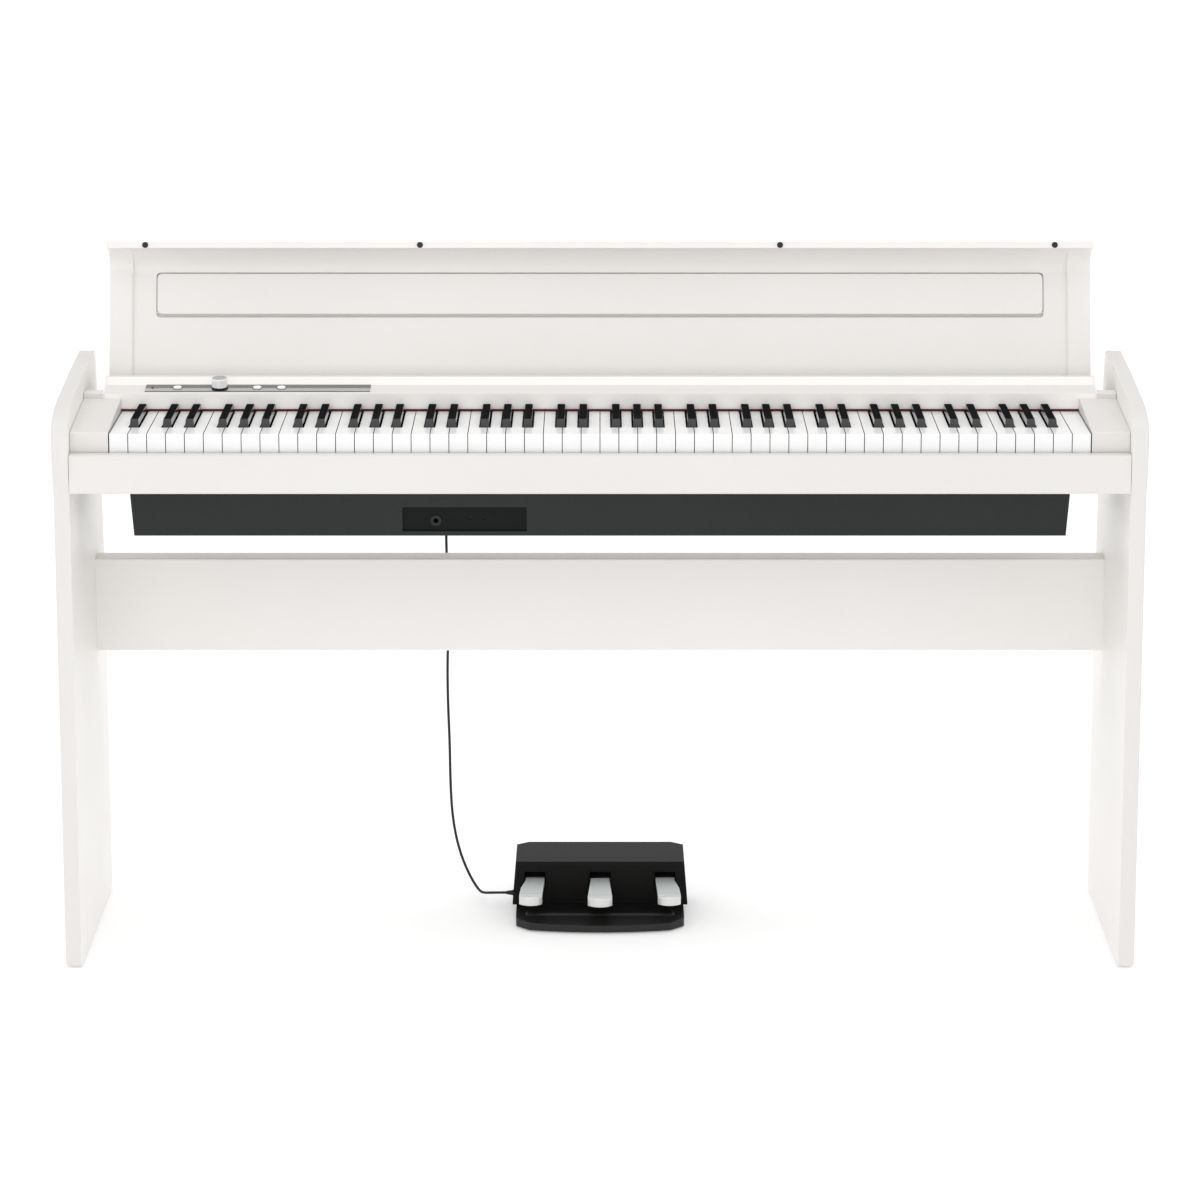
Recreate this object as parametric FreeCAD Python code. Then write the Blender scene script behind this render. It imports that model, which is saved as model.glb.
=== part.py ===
import FreeCAD, Part
import math
import os

os.makedirs("parts", exist_ok=True)

V = FreeCAD.Vector
X_AXIS = V(1, 0, 0)
Y_AXIS = V(0, 1, 0)
Z_AXIS = V(0, 0, 1)
ORIGIN = V(0, 0, 0)

# ---- driving dimensions, millimetres; +X right, -Y front, +Z up ----

# stand
WIDTH = 1360.0
PANEL_T = 20.0
LEG_FRONT = -164.0
LEG_REAR = 176.0
PANEL_BULGE = 12.0
PAD_T = 2.0
PANEL_TOP_REAR = 748.5
PANEL_REAR_TURN = (124.0, 747.0)
PANEL_REAR_TOP = (130.0, 740.5)
PANEL_REAR_BOW = (165.0, 541.0)
PANEL_REAR_LOW = 330.0
LEG_TOP = 610.0
PAD_R = 7.0
PAD_INSET = 30.0
INNER_X = WIDTH / 2 - PANEL_T
BRACKET_HALF = 20.0
BRACKET_REACH = 40.0
BRACKET_DROP = 26.0
BRACKET_T = 3.0
MODESTY_BRACKET_Z = (380.0, 445.0)
MODESTY_BRACKET_W = 24.0
MODESTY_BRACKET_T = 2.0
MODESTY_SCREW_Z = (395.0, 430.0)
MODESTY_SCREW_IN = 15.0
BRACKET_Y = (-12.0, 95.0)
MODESTY_Z = (356.0, 480.0)
MODESTY_Y = (76.0, 113.0)

# key bed and case
BED_Z = (620.0, 634.0)
BED_Y = (-153.0, 122.0)
BED_HALF = INNER_X - 0.5
RAIL_TOP = 650.0
UPPER_HALF = 636.0
CAP_T = 3.0
SHELL = 2.5
SLIP_FRONT = -169.0
SLIP_TOP = 669.0
CASE_REAR = 126.0
HOUSING_TOP = 712.0
TRAY_TOP = 677.0
WELL_REAR = 87.0

# keyboard: 88 keys of standard width
WHITE_PITCH = 23.5
WHITE_COUNT = 52
KEY_GAP = 1.0
KEY_TOP = 692.5
KEY_BOTTOM = 668.0
KEY_FRONT = -150.0
BLACK_FRONT = -108.0
BLACK_RISE = 10.0
BLACK_SLANT = 5.0
BLACK_BASE_W = 12.4
BLACK_TOP_W = 9.6
BLACK_SLOT = 13.75
KEY_TAIL = 3.0
STICK_W = 9.6
STICK_Z = (656.0, 670.5)
KEY_REAR = 97.0
PIVOT_Y = 90.0
PIVOT_Z = 663.0
ROD_R = 2.0
REST_RAIL_Y = (-146.0, -122.0)
REST_RAIL_TOP = 650.0
REST_FELT_TOP = 657.4
FRAME_T = 3.0
FRAME_OUT = 4.5
COMB_HALF_Y = 8.0
RUNNING_FIT = 0.05
KEYBOARD_HALF = WHITE_PITCH * WHITE_COUNT / 2
OCTAVE = 7 * WHITE_PITCH

# top panel: upright nameboard, sloping control face, rounded rear edge
NAME_Y = -4.0
NAME_BOTTOM = 695.5
NAME_TOP = 715.5
CONTROL_START = (-1.5, 717.0)
FELT_H = 2.4
CHEEK_Y = KEY_FRONT - 0.5
CHEEK_FRONT_Z = 695.0
CHEEK_REAR_Z = 709.0
CONTROL_END = (26.0, 721.0)
CONTROL_SLOPE = math.atan2(CONTROL_END[1] - CONTROL_START[1], CONTROL_END[0] - CONTROL_START[0])

# lid: s runs up the lid from the hinge axis, n points out of its inner face
LID_AXIS = (39.0, 702.0)
LID_LEAN = math.radians(14)
LID_LENGTH = 200.5
LID_TAIL = -12.0
LID_INNER = -32.0
LID_T = 11.0
LID_RECESS = 4.0
LIP_TIP = 8.0
LIP_T = 8.0
LIP_R_OUT = 34.0
LIP_R_IN = 26.0
COVE_R = LIP_R_IN + LID_RECESS
STRIP_INNER_X = 607.0
STRIP_SLOPE = 3.0
NOSE_R = 28.5
ARM_T = 3.0
ARM_GAP = 0.6
PIN_R = 4.0
HUB_R = 9.0
ARM_TOP_S = 24.0
STOP_S = (12.0, 19.0)
STOP_GAP = 0.3
STOP_X = (-400.0, 400.0)
BUMPER_X = (-586.0, -232.0, 232.0, 586.0)
BUMPER_R = 3.9

# music rest, a flap let into the lid
REST_HALF = 574.5
REST_S = (110.0, 163.0)
REST_T = 7.0
REST_FRONT = -32.5
REST_GAP = 1.2
REST_GAP_LOW = 4.0
REST_GAP_BACK = 1.5
REST_CORNER_R = 7.0
POCKET_CORNER_R = 5.0
REST_FRONT_R = 1.5
REST_BACK_R = 1.0
REST_PIN_R = 1.2
REST_PIN_S = REST_S[0] + 2.5
REST_PIN_N = REST_FRONT - 5.5
REST_PIN_IN = 14.0
REST_PIN_OUT = 6.0

# controls
STRIP_X = (-582.0, -294.0)
STRIP_S = (1.0, 26.8)
STRIP_T = 0.8
POWER_X = -541.0
KNOB_X = -487.0
BUTTON_X = (-439.0, -408.0)
CONTROL_S = 13.5
BUTTON_R = 5.4
KNOB_R = 10.0
KNOB_H = 14.5
KNOB_FOOT = 1.3
SHAFT_R = 3.0
BUTTON_LIFT = 2.6
BUTTON_STEM_R = 2.0
CONTROL_BOARD_LOW = -13.2

# main circuit board
MAIN_BOARD_X = (60.0, 300.0)
MAIN_BOARD_Y = 106.0
MAIN_BOARD_Z = (646.0, 700.0)
BOARD_T = 1.6
POST_R = 3.0
POST_INSET = 8.0

# speaker box
BOX_Z = (556.5, 620.0)
BOX_Y = (-124.0, 60.0)
BOX_TOP_HALF = 590.0
BOX_BOTTOM_HALF = 585.0
BOX_T = 6.0
JACK_PANEL_X = (-248.0, -92.0)
JACK_PANEL_Z = (562.5, 593.5)
JACK_X = -206.0
JACK_Z = 576.0
JACK_BORE_R = 3.2
JACK_R = 7.0
JACK_SMALL_X = (-163.0, -145.5)
SPEAKER_X = 420.0
SPEAKER_Y = -32.0
SPEAKER_R = 60.0
DC_X = 480.0
DC_Z = 690.0
DC_R = 2.8
DC_WALL = 2.5
SOCKET_HALF = 9.0
SPEAKER_RIM = 6.0
MAGNET_R = 30.0
GRILLE_PITCH = 9.0
GRILLE_SLOT = 3.6

# pedal unit
PEDAL_HALF = 113.0
BASE_HALF = 110.5
COVER_Y = (55.0, 140.0)
COVER_TOP_HALF = 111.0
COVER_FOOT_HALF = 116.0
COVER_TOP = 75.0
COVER_TOP_FRONT = 73.0
COVER_LEAN = 2.0
COVER_CORNER = (16.0, 11.0)
COVER_WALL = 3.0
BASE_T = 14.0
BASE_EDGE_T = 11.0
BASE_RIDGE_Y = 12.0
RIDGE_HALF = 94.0
RIDGE_R = 4.0
RIDGE_RETURN = 9.0
BASE_TIP_Y = -23.5
BASE_TURN = (92.0, -14.0)
BASE_CORNER_Y = 4.0
PEDAL_X = (-86.0, 0.0, 86.0)
PEDAL_TIP_Y = -3.0
MIDDLE_TIP_Y = -8.0
PEDAL_AXLE_Y = 122.0
PEDAL_AXLE_Z = 52.0
PEDAL_DIP = 5.0
PEDAL_T = 5.0
PEDAL_LIP = 12.5
PEDAL_NECK = 12.5
PEDAL_TOE = 16.0
CREASE = (0.8, 0.5)
AXLE_R = 3.0
LUG_T = 4.0
LUG_OFFSET = 17.0
SPRING_Y = 84.0
SPRING_R = 6.0
SPRING_WIRE_R = 0.8
SPRING_PITCH = 4.0
SLOT_Z = (35.0, 59.5)
SLOT_W = 27.5

# pedal cord
CORD_R = 1.75
GLAND_R = 4.0
GLAND_TIP_R = 2.2
GLAND_NECK_R = 3.6
GLAND_Z = BASE_T + 6.0
GLAND_LENGTH = 9.0
CORD_Y = 90.0
SOCKET_Z = 601.0
CORD_X = -203.0
PLUG_REAR = 92.0


# ---- helpers ----

def box(x, y, z):
    """Block between three (low, high) pairs."""
    return Part.makeBox(x[1] - x[0], y[1] - y[0], z[1] - z[0], V(x[0], y[0], z[0]))


def sym(half):
    return (-half, half)


def fuse(shapes):
    first = shapes[0]
    if len(shapes) == 1:
        return first
    return first.fuse(shapes[1:]).removeSplitter()


def group(shapes):
    return Part.makeCompound(shapes)


def save(name, shape):
    shape.exportStep("parts/%s.step" % name)


def slab_x(points, x):
    """Closed (Y, Z) outline of straight lines, extruded along X."""
    wire = Part.makePolygon([V(x[0], p[0], p[1]) for p in points + points[:1]])
    return Part.Face(wire).extrude(V(x[1] - x[0], 0, 0))


def wire_x(edges, x):
    """Closed run of edges in the YZ plane, extruded along X."""
    face = Part.Face(Part.Wire(edges))
    solid = face.extrude(V(x[1] - x[0], 0, 0))
    solid.translate(V(x[0], 0, 0))
    return solid


def line(a, b):
    return Part.LineSegment(V(0, a[0], a[1]), V(0, b[0], b[1])).toShape()


def arc(a, mid, b):
    return Part.Arc(V(0, a[0], a[1]), V(0, mid[0], mid[1]), V(0, b[0], b[1])).toShape()


def polar(centre, radius, degrees):
    angle = math.radians(degrees)
    return (centre[0] + radius * math.cos(angle), centre[1] + radius * math.sin(angle))


def edges_along(shape, axis, test):
    """Straight edges parallel to axis whose middle passes the test."""
    found = []
    for edge in shape.Edges:
        if len(edge.Vertexes) < 2:
            continue
        run = edge.Vertexes[1].Point - edge.Vertexes[0].Point
        if run.Length < 0.5:
            continue
        if abs(run.dot(axis)) < 0.999 * run.Length:
            continue
        if test(edge.CenterOfMass):
            found.append(edge)
    return found


def soften(shape, radius, axis, test=lambda point: True):
    return shape.makeFillet(radius, edges_along(shape, axis, test))


# ---- stand ----

def side_panel(side):
    """Leg panel with a crowned top edge that follows the closed lid."""
    inner = side * INNER_X
    outer = side * WIDTH / 2
    x = (min(inner, outer), max(inner, outer))
    crown = [
        (LEG_FRONT, LEG_TOP),
        (LEG_FRONT - 0.75 * PANEL_BULGE, 650.0),
        (LEG_FRONT - PANEL_BULGE, 684.0),
        (LEG_FRONT - 0.55 * PANEL_BULGE, 706.0),
        (LEG_FRONT + 12.0, 718.0),
        (-85.0, PANEL_TOP_REAR - 17.5),
        (44.0, PANEL_TOP_REAR - 5.0),
        (112.0, PANEL_TOP_REAR),
    ]
    curve = Part.BSplineCurve()
    curve.interpolate([V(0, p[0], p[1]) for p in crown])
    rear_low = (LEG_REAR, PANEL_REAR_LOW)
    edges = [
        line((LEG_REAR, PAD_T), (LEG_FRONT, PAD_T)),
        line((LEG_FRONT, PAD_T), crown[0]),
        curve.toShape(),
        arc(crown[-1], PANEL_REAR_TURN, PANEL_REAR_TOP),
        arc(PANEL_REAR_TOP, PANEL_REAR_BOW, rear_low),
        line(rear_low, (LEG_REAR, PAD_T)),
    ]
    panel = wire_x(edges, x)
    panel = soften(panel, 8.0, X_AXIS, lambda p: p.z < PAD_T + 1)
    outer_edges = [e for e in panel.Edges if abs(e.CenterOfMass.x - outer) < 0.01]
    return panel.makeFillet(2.5, outer_edges)


def floor_pads():
    """Pads under the side panels and the pedal base."""
    centre = (WIDTH - PANEL_T) / 2
    places = [(x, y) for x in sym(centre) for y in (LEG_FRONT + PAD_INSET, LEG_REAR - PAD_INSET)]
    places += [(x, y) for x in sym(90.0) for y in (30.0, 130.0)]
    return group([Part.makeCylinder(PAD_R, PAD_T, V(x, y, 0)) for x, y in places])


def modesty_panel():
    panel = box(sym(INNER_X), MODESTY_Y, MODESTY_Z)
    return soften(panel, 2.0, X_AXIS)


def bracket(side, y):
    """Steel angle that hangs the key bed on a side panel."""
    wall = side * INNER_X
    deep = side * (INNER_X - BRACKET_REACH)
    along = (y - BRACKET_HALF, y + BRACKET_HALF)
    flange = box(sorted((wall, deep)), along, (BED_Z[0] - BRACKET_T, BED_Z[0]))
    web = box(sorted((wall, wall - side * BRACKET_T)), along, (BED_Z[0] - BRACKET_DROP, BED_Z[0]))
    return flange.fuse(web).removeSplitter()


def brackets():
    return group([bracket(side, y) for side in (-1, 1) for y in BRACKET_Y])


def modesty_brackets():
    """Small angles behind the modesty panel, one at each end."""
    made = []
    for side in (-1, 1):
        wall = side * INNER_X
        rear = MODESTY_Y[1]
        thin_x = sorted((wall, wall - side * MODESTY_BRACKET_T))
        wide_x = sorted((wall, wall - side * MODESTY_BRACKET_W))
        on_wall = box(thin_x, (rear, rear + MODESTY_BRACKET_W), MODESTY_BRACKET_Z)
        on_panel = box(wide_x, (rear, rear + MODESTY_BRACKET_T), MODESTY_BRACKET_Z)
        made.append(on_wall.fuse(on_panel).removeSplitter())
    return group(made)


def pan_screw(base, direction, head_r, head_h, shank_r, shank_l):
    """Pan head screw: head stands out along direction, shank goes the other way."""
    head = Part.makeCylinder(head_r, head_h, base, direction)
    tip = base - direction * shank_l
    shank = Part.makeCylinder(shank_r, shank_l, tip, direction)
    socket = Part.makeCylinder(head_r * 0.45, head_h * 0.6, base + direction * head_h * 0.5, direction)
    return head.fuse(shank).cut(socket)


BRACKET_SCREW = dict(head_r=5.0, head_h=3.0, shank_r=2.5, shank_l=12.0)
MODESTY_SCREW = dict(head_r=4.0, head_h=2.4, shank_r=2.0, shank_l=10.0)


def stand_screws():
    made = []
    for side in (-1, 1):
        out = X_AXIS * -side
        for y in BRACKET_Y:
            in_wall = V(side * (INNER_X - BRACKET_T), y, BED_Z[0] - 18)
            in_bed = V(side * (INNER_X - 26), y, BED_Z[0] - BRACKET_T)
            made.append(pan_screw(in_wall, out, **BRACKET_SCREW))
            made.append(pan_screw(in_bed, Z_AXIS * -1, **BRACKET_SCREW))
        for z in MODESTY_SCREW_Z:
            in_wall = V(side * (INNER_X - MODESTY_BRACKET_T), MODESTY_Y[1] + MODESTY_SCREW_IN, z)
            in_panel = V(side * (INNER_X - MODESTY_SCREW_IN), MODESTY_Y[1] + MODESTY_BRACKET_T, z)
            made.append(pan_screw(in_wall, out, **MODESTY_SCREW))
            made.append(pan_screw(in_panel, Y_AXIS, **MODESTY_SCREW))
    return group(made)


def drill_screws(shape):
    """Threaded holes, cut to the size of the screws that fill them."""
    return shape.cut(SCREWS)


# ---- key bed and case ----

def key_bed():
    bed = box(sym(BED_HALF), BED_Y, BED_Z)
    rails = []
    for side in (-1, 1):
        x = sorted((side * UPPER_HALF, side * BED_HALF))
        rails.append(box(x, (BED_Y[0], CASE_REAR - 4), (BED_Z[1] - 1, RAIL_TOP)))
    return fuse([bed] + rails)


def key_slip():
    slip = box(sym(BED_HALF), (SLIP_FRONT, BED_Y[0]), (BED_Z[0], SLIP_TOP))
    slip = soften(slip, 2.5, X_AXIS, lambda p: p.y < SLIP_FRONT + 1)
    return slip


def cheek_block(side):
    """Block that fills the end of the keyboard, its top sloping up to the nameboard."""
    inner = side * (KEYBOARD_HALF + 1.0)
    outer = side * BED_HALF
    outline = [
        (CHEEK_Y, RAIL_TOP),
        (CHEEK_Y, CHEEK_FRONT_Z),
        (NAME_Y - 0.2, CHEEK_REAR_Z),
        (NAME_Y - 0.2, RAIL_TOP),
    ]
    block = slab_x(outline, sorted((inner, outer)))
    block = soften(block, 2.0, X_AXIS, lambda p: p.z > 690 and p.y < KEY_FRONT)
    ending = [
        (NAME_Y - 0.2, NAME_TOP - 0.5),
        (NAME_Y + 0.2, NAME_TOP),
        CONTROL_START,
        control_frame(8.0, 0),
        (control_frame(8.0, 0)[0], RAIL_TOP),
        (NAME_Y - 0.2, RAIL_TOP),
    ]
    ending_x = sorted((side * (UPPER_HALF + 0.2), outer))
    return fuse([block, slab_x(ending, ending_x)])


def nose_point(degrees, radius=NOSE_R):
    return polar(LID_AXIS, radius, degrees)


NOSE_TOP = 100.0
NOSE_MID = 25.0
NOSE_LOW = -45.0


def top_outline():
    """Corner points of the top panel's outer face, front to back."""
    return [(NAME_Y, NAME_BOTTOM), (NAME_Y, NAME_TOP), CONTROL_START, CONTROL_END, nose_point(NOSE_TOP)]


def top_panel():
    outer = top_outline()
    inner = [
        (NAME_Y + SHELL, NAME_BOTTOM),
        (NAME_Y + SHELL, NAME_TOP - 1.5),
        (CONTROL_START[0] + 1, CONTROL_START[1] - SHELL),
        (CONTROL_END[0] + 1, CONTROL_END[1] - SHELL),
        nose_point(NOSE_TOP, NOSE_R - SHELL),
    ]
    low_out = nose_point(NOSE_LOW)
    low_in = nose_point(NOSE_LOW, NOSE_R - SHELL)
    foot_out = (low_out[0], TRAY_TOP)
    foot_in = (low_in[0], TRAY_TOP)
    edges = [line(a, b) for a, b in zip(outer, outer[1:])]
    edges.append(arc(outer[-1], nose_point(NOSE_MID), low_out))
    edges.append(line(low_out, foot_out))
    edges.append(line(foot_out, foot_in))
    edges.append(line(foot_in, low_in))
    edges.append(arc(low_in, nose_point(NOSE_MID, NOSE_R - SHELL), inner[-1]))
    backwards = inner[::-1]
    edges += [line(a, b) for a, b in zip(backwards, backwards[1:])]
    edges.append(line(inner[0], outer[0]))
    panel = wire_x(edges, sym(UPPER_HALF - CAP_T))
    return panel.cut(fuse(control_holes()))


def end_cap(side):
    """End wall of the upper case, with the bush hole for the lid pin."""
    outer = top_outline()
    low_out = nose_point(NOSE_LOW)
    well = [low_out, (low_out[0], TRAY_TOP), (WELL_REAR, TRAY_TOP), (WELL_REAR, HOUSING_TOP)]
    front = NAME_Y + 7
    back = [(CASE_REAR, HOUSING_TOP), (CASE_REAR, RAIL_TOP), (front, RAIL_TOP), (front, NAME_BOTTOM)]
    points = well + back + [outer[0]]
    edges = [line(a, b) for a, b in zip(outer, outer[1:])]
    edges.append(arc(outer[-1], nose_point(NOSE_MID), low_out))
    edges += [line(a, b) for a, b in zip(points, points[1:])]
    x = sorted((side * (UPPER_HALF - CAP_T), side * UPPER_HALF))
    cap = wire_x(edges, x)
    boss_x = side * (UPPER_HALF - 12.0)
    boss = Part.makeCylinder(HUB_R, 9.5, V(min(boss_x, boss_x + side * 9.5), *LID_AXIS), X_AXIS)
    cap = cap.fuse(boss).removeSplitter()
    hole_x = min(side * (UPPER_HALF - 14), side * (UPPER_HALF + 1))
    hole = Part.makeCylinder(PIN_R + RUNNING_FIT, 15.0, V(hole_x, *LID_AXIS), X_AXIS)
    return cap.cut(hole)


def rear_housing():
    """Folded cover behind the lid: tray, upright and top."""
    x = sym(UPPER_HALF - CAP_T)
    front = nose_point(NOSE_LOW, NOSE_R - SHELL)[0] - 1
    tray = box(x, (front, WELL_REAR + SHELL), (TRAY_TOP - SHELL, TRAY_TOP))
    wall = box(x, (WELL_REAR, WELL_REAR + SHELL), (TRAY_TOP - SHELL, HOUSING_TOP))
    top = box(x, (WELL_REAR, CASE_REAR), (HOUSING_TOP - SHELL, HOUSING_TOP))
    return fuse([tray, wall, top])


def rear_panel():
    panel = box(sym(UPPER_HALF - CAP_T), (BED_Y[1], CASE_REAR), (BED_Z[0], HOUSING_TOP - SHELL))
    inlet = Part.makeCylinder(DC_R + DC_WALL, 10, V(DC_X, BED_Y[1] - 2, DC_Z), Y_AXIS)
    return panel.cut(inlet)


def felt_strip():
    return box(sym(KEYBOARD_HALF), (NAME_Y - 1.2, NAME_Y + SHELL), (NAME_BOTTOM - FELT_H, NAME_BOTTOM))


def lid_stops():
    """Rubber blocks on the rear cover that the open lid leans on."""
    made = []
    low, high = [lid_point(s, LID_INNER - LID_T - STOP_GAP) for s in STOP_S]
    for x in STOP_X:
        outline = [low, high, (WELL_REAR, high[1]), (WELL_REAR, low[1])]
        made.append(slab_x(outline, (x - 15, x + 15)))
    return group(made)


# ---- controls ----

def control_frame(s, lift):
    """Point on the control face: s up the slope, lift above it."""
    y = CONTROL_START[0] + s * math.cos(CONTROL_SLOPE) - lift * math.sin(CONTROL_SLOPE)
    z = CONTROL_START[1] + s * math.sin(CONTROL_SLOPE) + lift * math.cos(CONTROL_SLOPE)
    return (y, z)


CONTROL_NORMAL = V(0, -math.sin(CONTROL_SLOPE), math.cos(CONTROL_SLOPE))


def control_cylinder(x, radius, low, high):
    start = control_frame(CONTROL_S, low)
    return Part.makeCylinder(radius, high - low, V(x, *start), CONTROL_NORMAL)


def control_holes():
    holes = [control_cylinder(KNOB_X, SHAFT_R + 0.6, -8, 4)]
    for x in (POWER_X,) + BUTTON_X:
        holes.append(control_cylinder(x, BUTTON_R + 0.4, -8, 4))
    return holes


def control_strip():
    outline = [
        control_frame(STRIP_S[0], 0),
        control_frame(STRIP_S[1], 0),
        control_frame(STRIP_S[1], STRIP_T),
        control_frame(STRIP_S[0], STRIP_T),
    ]
    return slab_x(outline, STRIP_X).cut(fuse(control_holes()))


def button(x):
    """Cap on a short stem that reaches the switch below the face."""
    cap = control_cylinder(x, BUTTON_R, -3, BUTTON_LIFT)
    top = V(x, *control_frame(CONTROL_S, BUTTON_LIFT))
    rim = [e for e in cap.Edges if (e.CenterOfMass - top).Length < 0.1]
    cap = cap.makeFillet(0.6, rim[:1])
    stem = control_cylinder(x, BUTTON_STEM_R, -6, -2)
    return cap.fuse(stem).removeSplitter()


def volume_knob():
    knob = control_cylinder(KNOB_X, KNOB_R, KNOB_FOOT, KNOB_H)
    top = V(KNOB_X, *control_frame(CONTROL_S, KNOB_H))
    rim = [e for e in knob.Edges if (e.CenterOfMass - top).Length < 0.1]
    knob = knob.makeFillet(1.0, rim[:1])
    bore = control_cylinder(KNOB_X, SHAFT_R, 0, 8)
    return knob.cut(bore)


def volume_shaft():
    return control_cylinder(KNOB_X, SHAFT_R, -9, 8)


def volume_pot():
    body = control_cylinder(KNOB_X, 8.0, -13, -4)
    bore = control_cylinder(KNOB_X, SHAFT_R + RUNNING_FIT, -10, 0)
    return body.cut(bore)


def control_switches():
    """Switch bodies under the three buttons."""
    return group([control_cylinder(x, 4.0, -12, -7.4) for x in (POWER_X,) + BUTTON_X])


def control_board():
    low = control_frame(0, CONTROL_BOARD_LOW)
    board = Part.makeBox(STRIP_X[1] - STRIP_X[0], 26.0, 1.2, V(STRIP_X[0], 0, 0))
    board.rotate(V(0, 0, 0), X_AXIS, math.degrees(CONTROL_SLOPE))
    board.translate(V(0, low[0] + 2, low[1] - 1.2 * math.cos(CONTROL_SLOPE)))
    return board


# ---- lid ----

def lid_point(s, n):
    """(s, n) on the open lid to (Y, Z)."""
    y = LID_AXIS[0] + s * math.sin(LID_LEAN) - n * math.cos(LID_LEAN)
    z = LID_AXIS[1] + s * math.cos(LID_LEAN) + n * math.sin(LID_LEAN)
    return (y, z)


def lid_block(x, s, n):
    outline = [lid_point(s[0], n[0]), lid_point(s[1], n[0]), lid_point(s[1], n[1]), lid_point(s[0], n[1])]
    return slab_x(outline, x)


def lid_arc(centre, radius, a, b):
    """Arc in (s, n) between two angles, as an edge."""
    points = [lid_point(*polar(centre, radius, d)) for d in (a, (a + b) / 2, b)]
    return arc(*points)


def lid_panel():
    back = LID_INNER - LID_T
    out_c = (LID_LENGTH - LIP_R_OUT, back + LIP_R_OUT)
    in_s = LID_LENGTH - LIP_T
    in_c = (in_s - LIP_R_IN, LID_INNER + LIP_R_IN)
    edges = [
        line(lid_point(LID_TAIL, LID_INNER), lid_point(LID_TAIL, back)),
        line(lid_point(LID_TAIL, back), lid_point(out_c[0], back)),
        lid_arc(out_c, LIP_R_OUT, -90, 0),
        line(lid_point(LID_LENGTH, out_c[1]), lid_point(LID_LENGTH, LIP_TIP)),
        line(lid_point(LID_LENGTH, LIP_TIP), lid_point(in_s, LIP_TIP)),
        line(lid_point(in_s, LIP_TIP), lid_point(in_s, in_c[1])),
        lid_arc(in_c, LIP_R_IN, 0, -90),
        line(lid_point(in_c[0], LID_INNER), lid_point(LID_TAIL, LID_INNER)),
    ]
    panel = wire_x(edges, sym(UPPER_HALF))
    pocket_n = REST_FRONT - REST_T - REST_GAP_BACK
    pocket_s = (REST_S[0] - REST_GAP_LOW, REST_S[1] + REST_GAP)
    pocket = rounded_plate(REST_HALF + REST_GAP, pocket_s, (pocket_n, 0), POCKET_CORNER_R)
    panel = panel.cut(lid_recess()).cut(lid_cove()).cut(to_lid(pocket))
    return panel.cut(group(rest_pins(RUNNING_FIT)))


def lid_recess():
    """Shallow recess between the side strips, its ends sloping."""
    end_s = cove_centre()[0]
    low = LID_INNER - LID_RECESS
    high = LID_INNER + 1
    start_s = LID_TAIL - 1
    narrow = STRIP_INNER_X - STRIP_SLOPE
    wide = STRIP_INNER_X + STRIP_SLOPE / LID_RECESS
    foot = [V(-narrow, start_s, low), V(narrow, start_s, low)]
    corners = foot + [V(wide, start_s, high), V(-wide, start_s, high)]
    block = Part.Face(Part.makePolygon(corners + corners[:1])).extrude(V(0, end_s - start_s, 0))
    return to_lid(block)


def cove_centre():
    """Centre, in (s, n), of the curve that leads the recess into the lip."""
    return (LID_LENGTH - LIP_T - COVE_R, LID_INNER + LIP_R_IN)


def lid_cove():
    """Cut that carries the recess up into the lip in one smooth curve."""
    centre = cove_centre()
    foot = (centre[0], centre[1] - COVE_R)
    edges = [
        line(lid_point(*centre), lid_point(*foot)),
        lid_arc(centre, COVE_R, -90, 0),
        line(lid_point(centre[0] + COVE_R, centre[1]), lid_point(*centre)),
    ]
    return wire_x(edges, sym(STRIP_INNER_X - STRIP_SLOPE / 2))


def rounded_plate(half, s, n, corner_r):
    """Round-cornered plate between two s and two n values, drawn in (X, s, n)."""
    return soften(box(sym(half), s, n), corner_r, Z_AXIS)


def to_lid(shape):
    """Carry a shape drawn in (X, s, n) onto the open lid."""
    moved = shape.copy()
    moved.rotate(ORIGIN, X_AXIS, 90 - math.degrees(LID_LEAN))
    moved.translate(V(0, *LID_AXIS))
    return moved


def rest_pins(extra=0.0):
    """Hinge pins at the lower corners of the music rest; extra makes the holes for them."""
    made = []
    for side in (-1, 1):
        reach = REST_GAP + REST_PIN_OUT + 6 * extra
        x = sorted((side * (REST_HALF - REST_PIN_IN), side * (REST_HALF + reach)))
        base = V(x[0], *lid_point(REST_PIN_S, REST_PIN_N))
        made.append(Part.makeCylinder(REST_PIN_R + extra, x[1] - x[0], base, X_AXIS))
    return made


def music_rest():
    back = REST_FRONT - REST_T
    rest = rounded_plate(REST_HALF, REST_S, (back, REST_FRONT), REST_CORNER_R)
    front_edges = [e for e in rest.Edges if abs(e.CenterOfMass.z - REST_FRONT) < 0.01]
    rest = rest.makeFillet(REST_FRONT_R, front_edges)
    back_edges = [e for e in rest.Edges if abs(e.CenterOfMass.z - back) < 0.01]
    rest = rest.makeFillet(REST_BACK_R, back_edges)
    return fuse([to_lid(rest)] + rest_pins())


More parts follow.
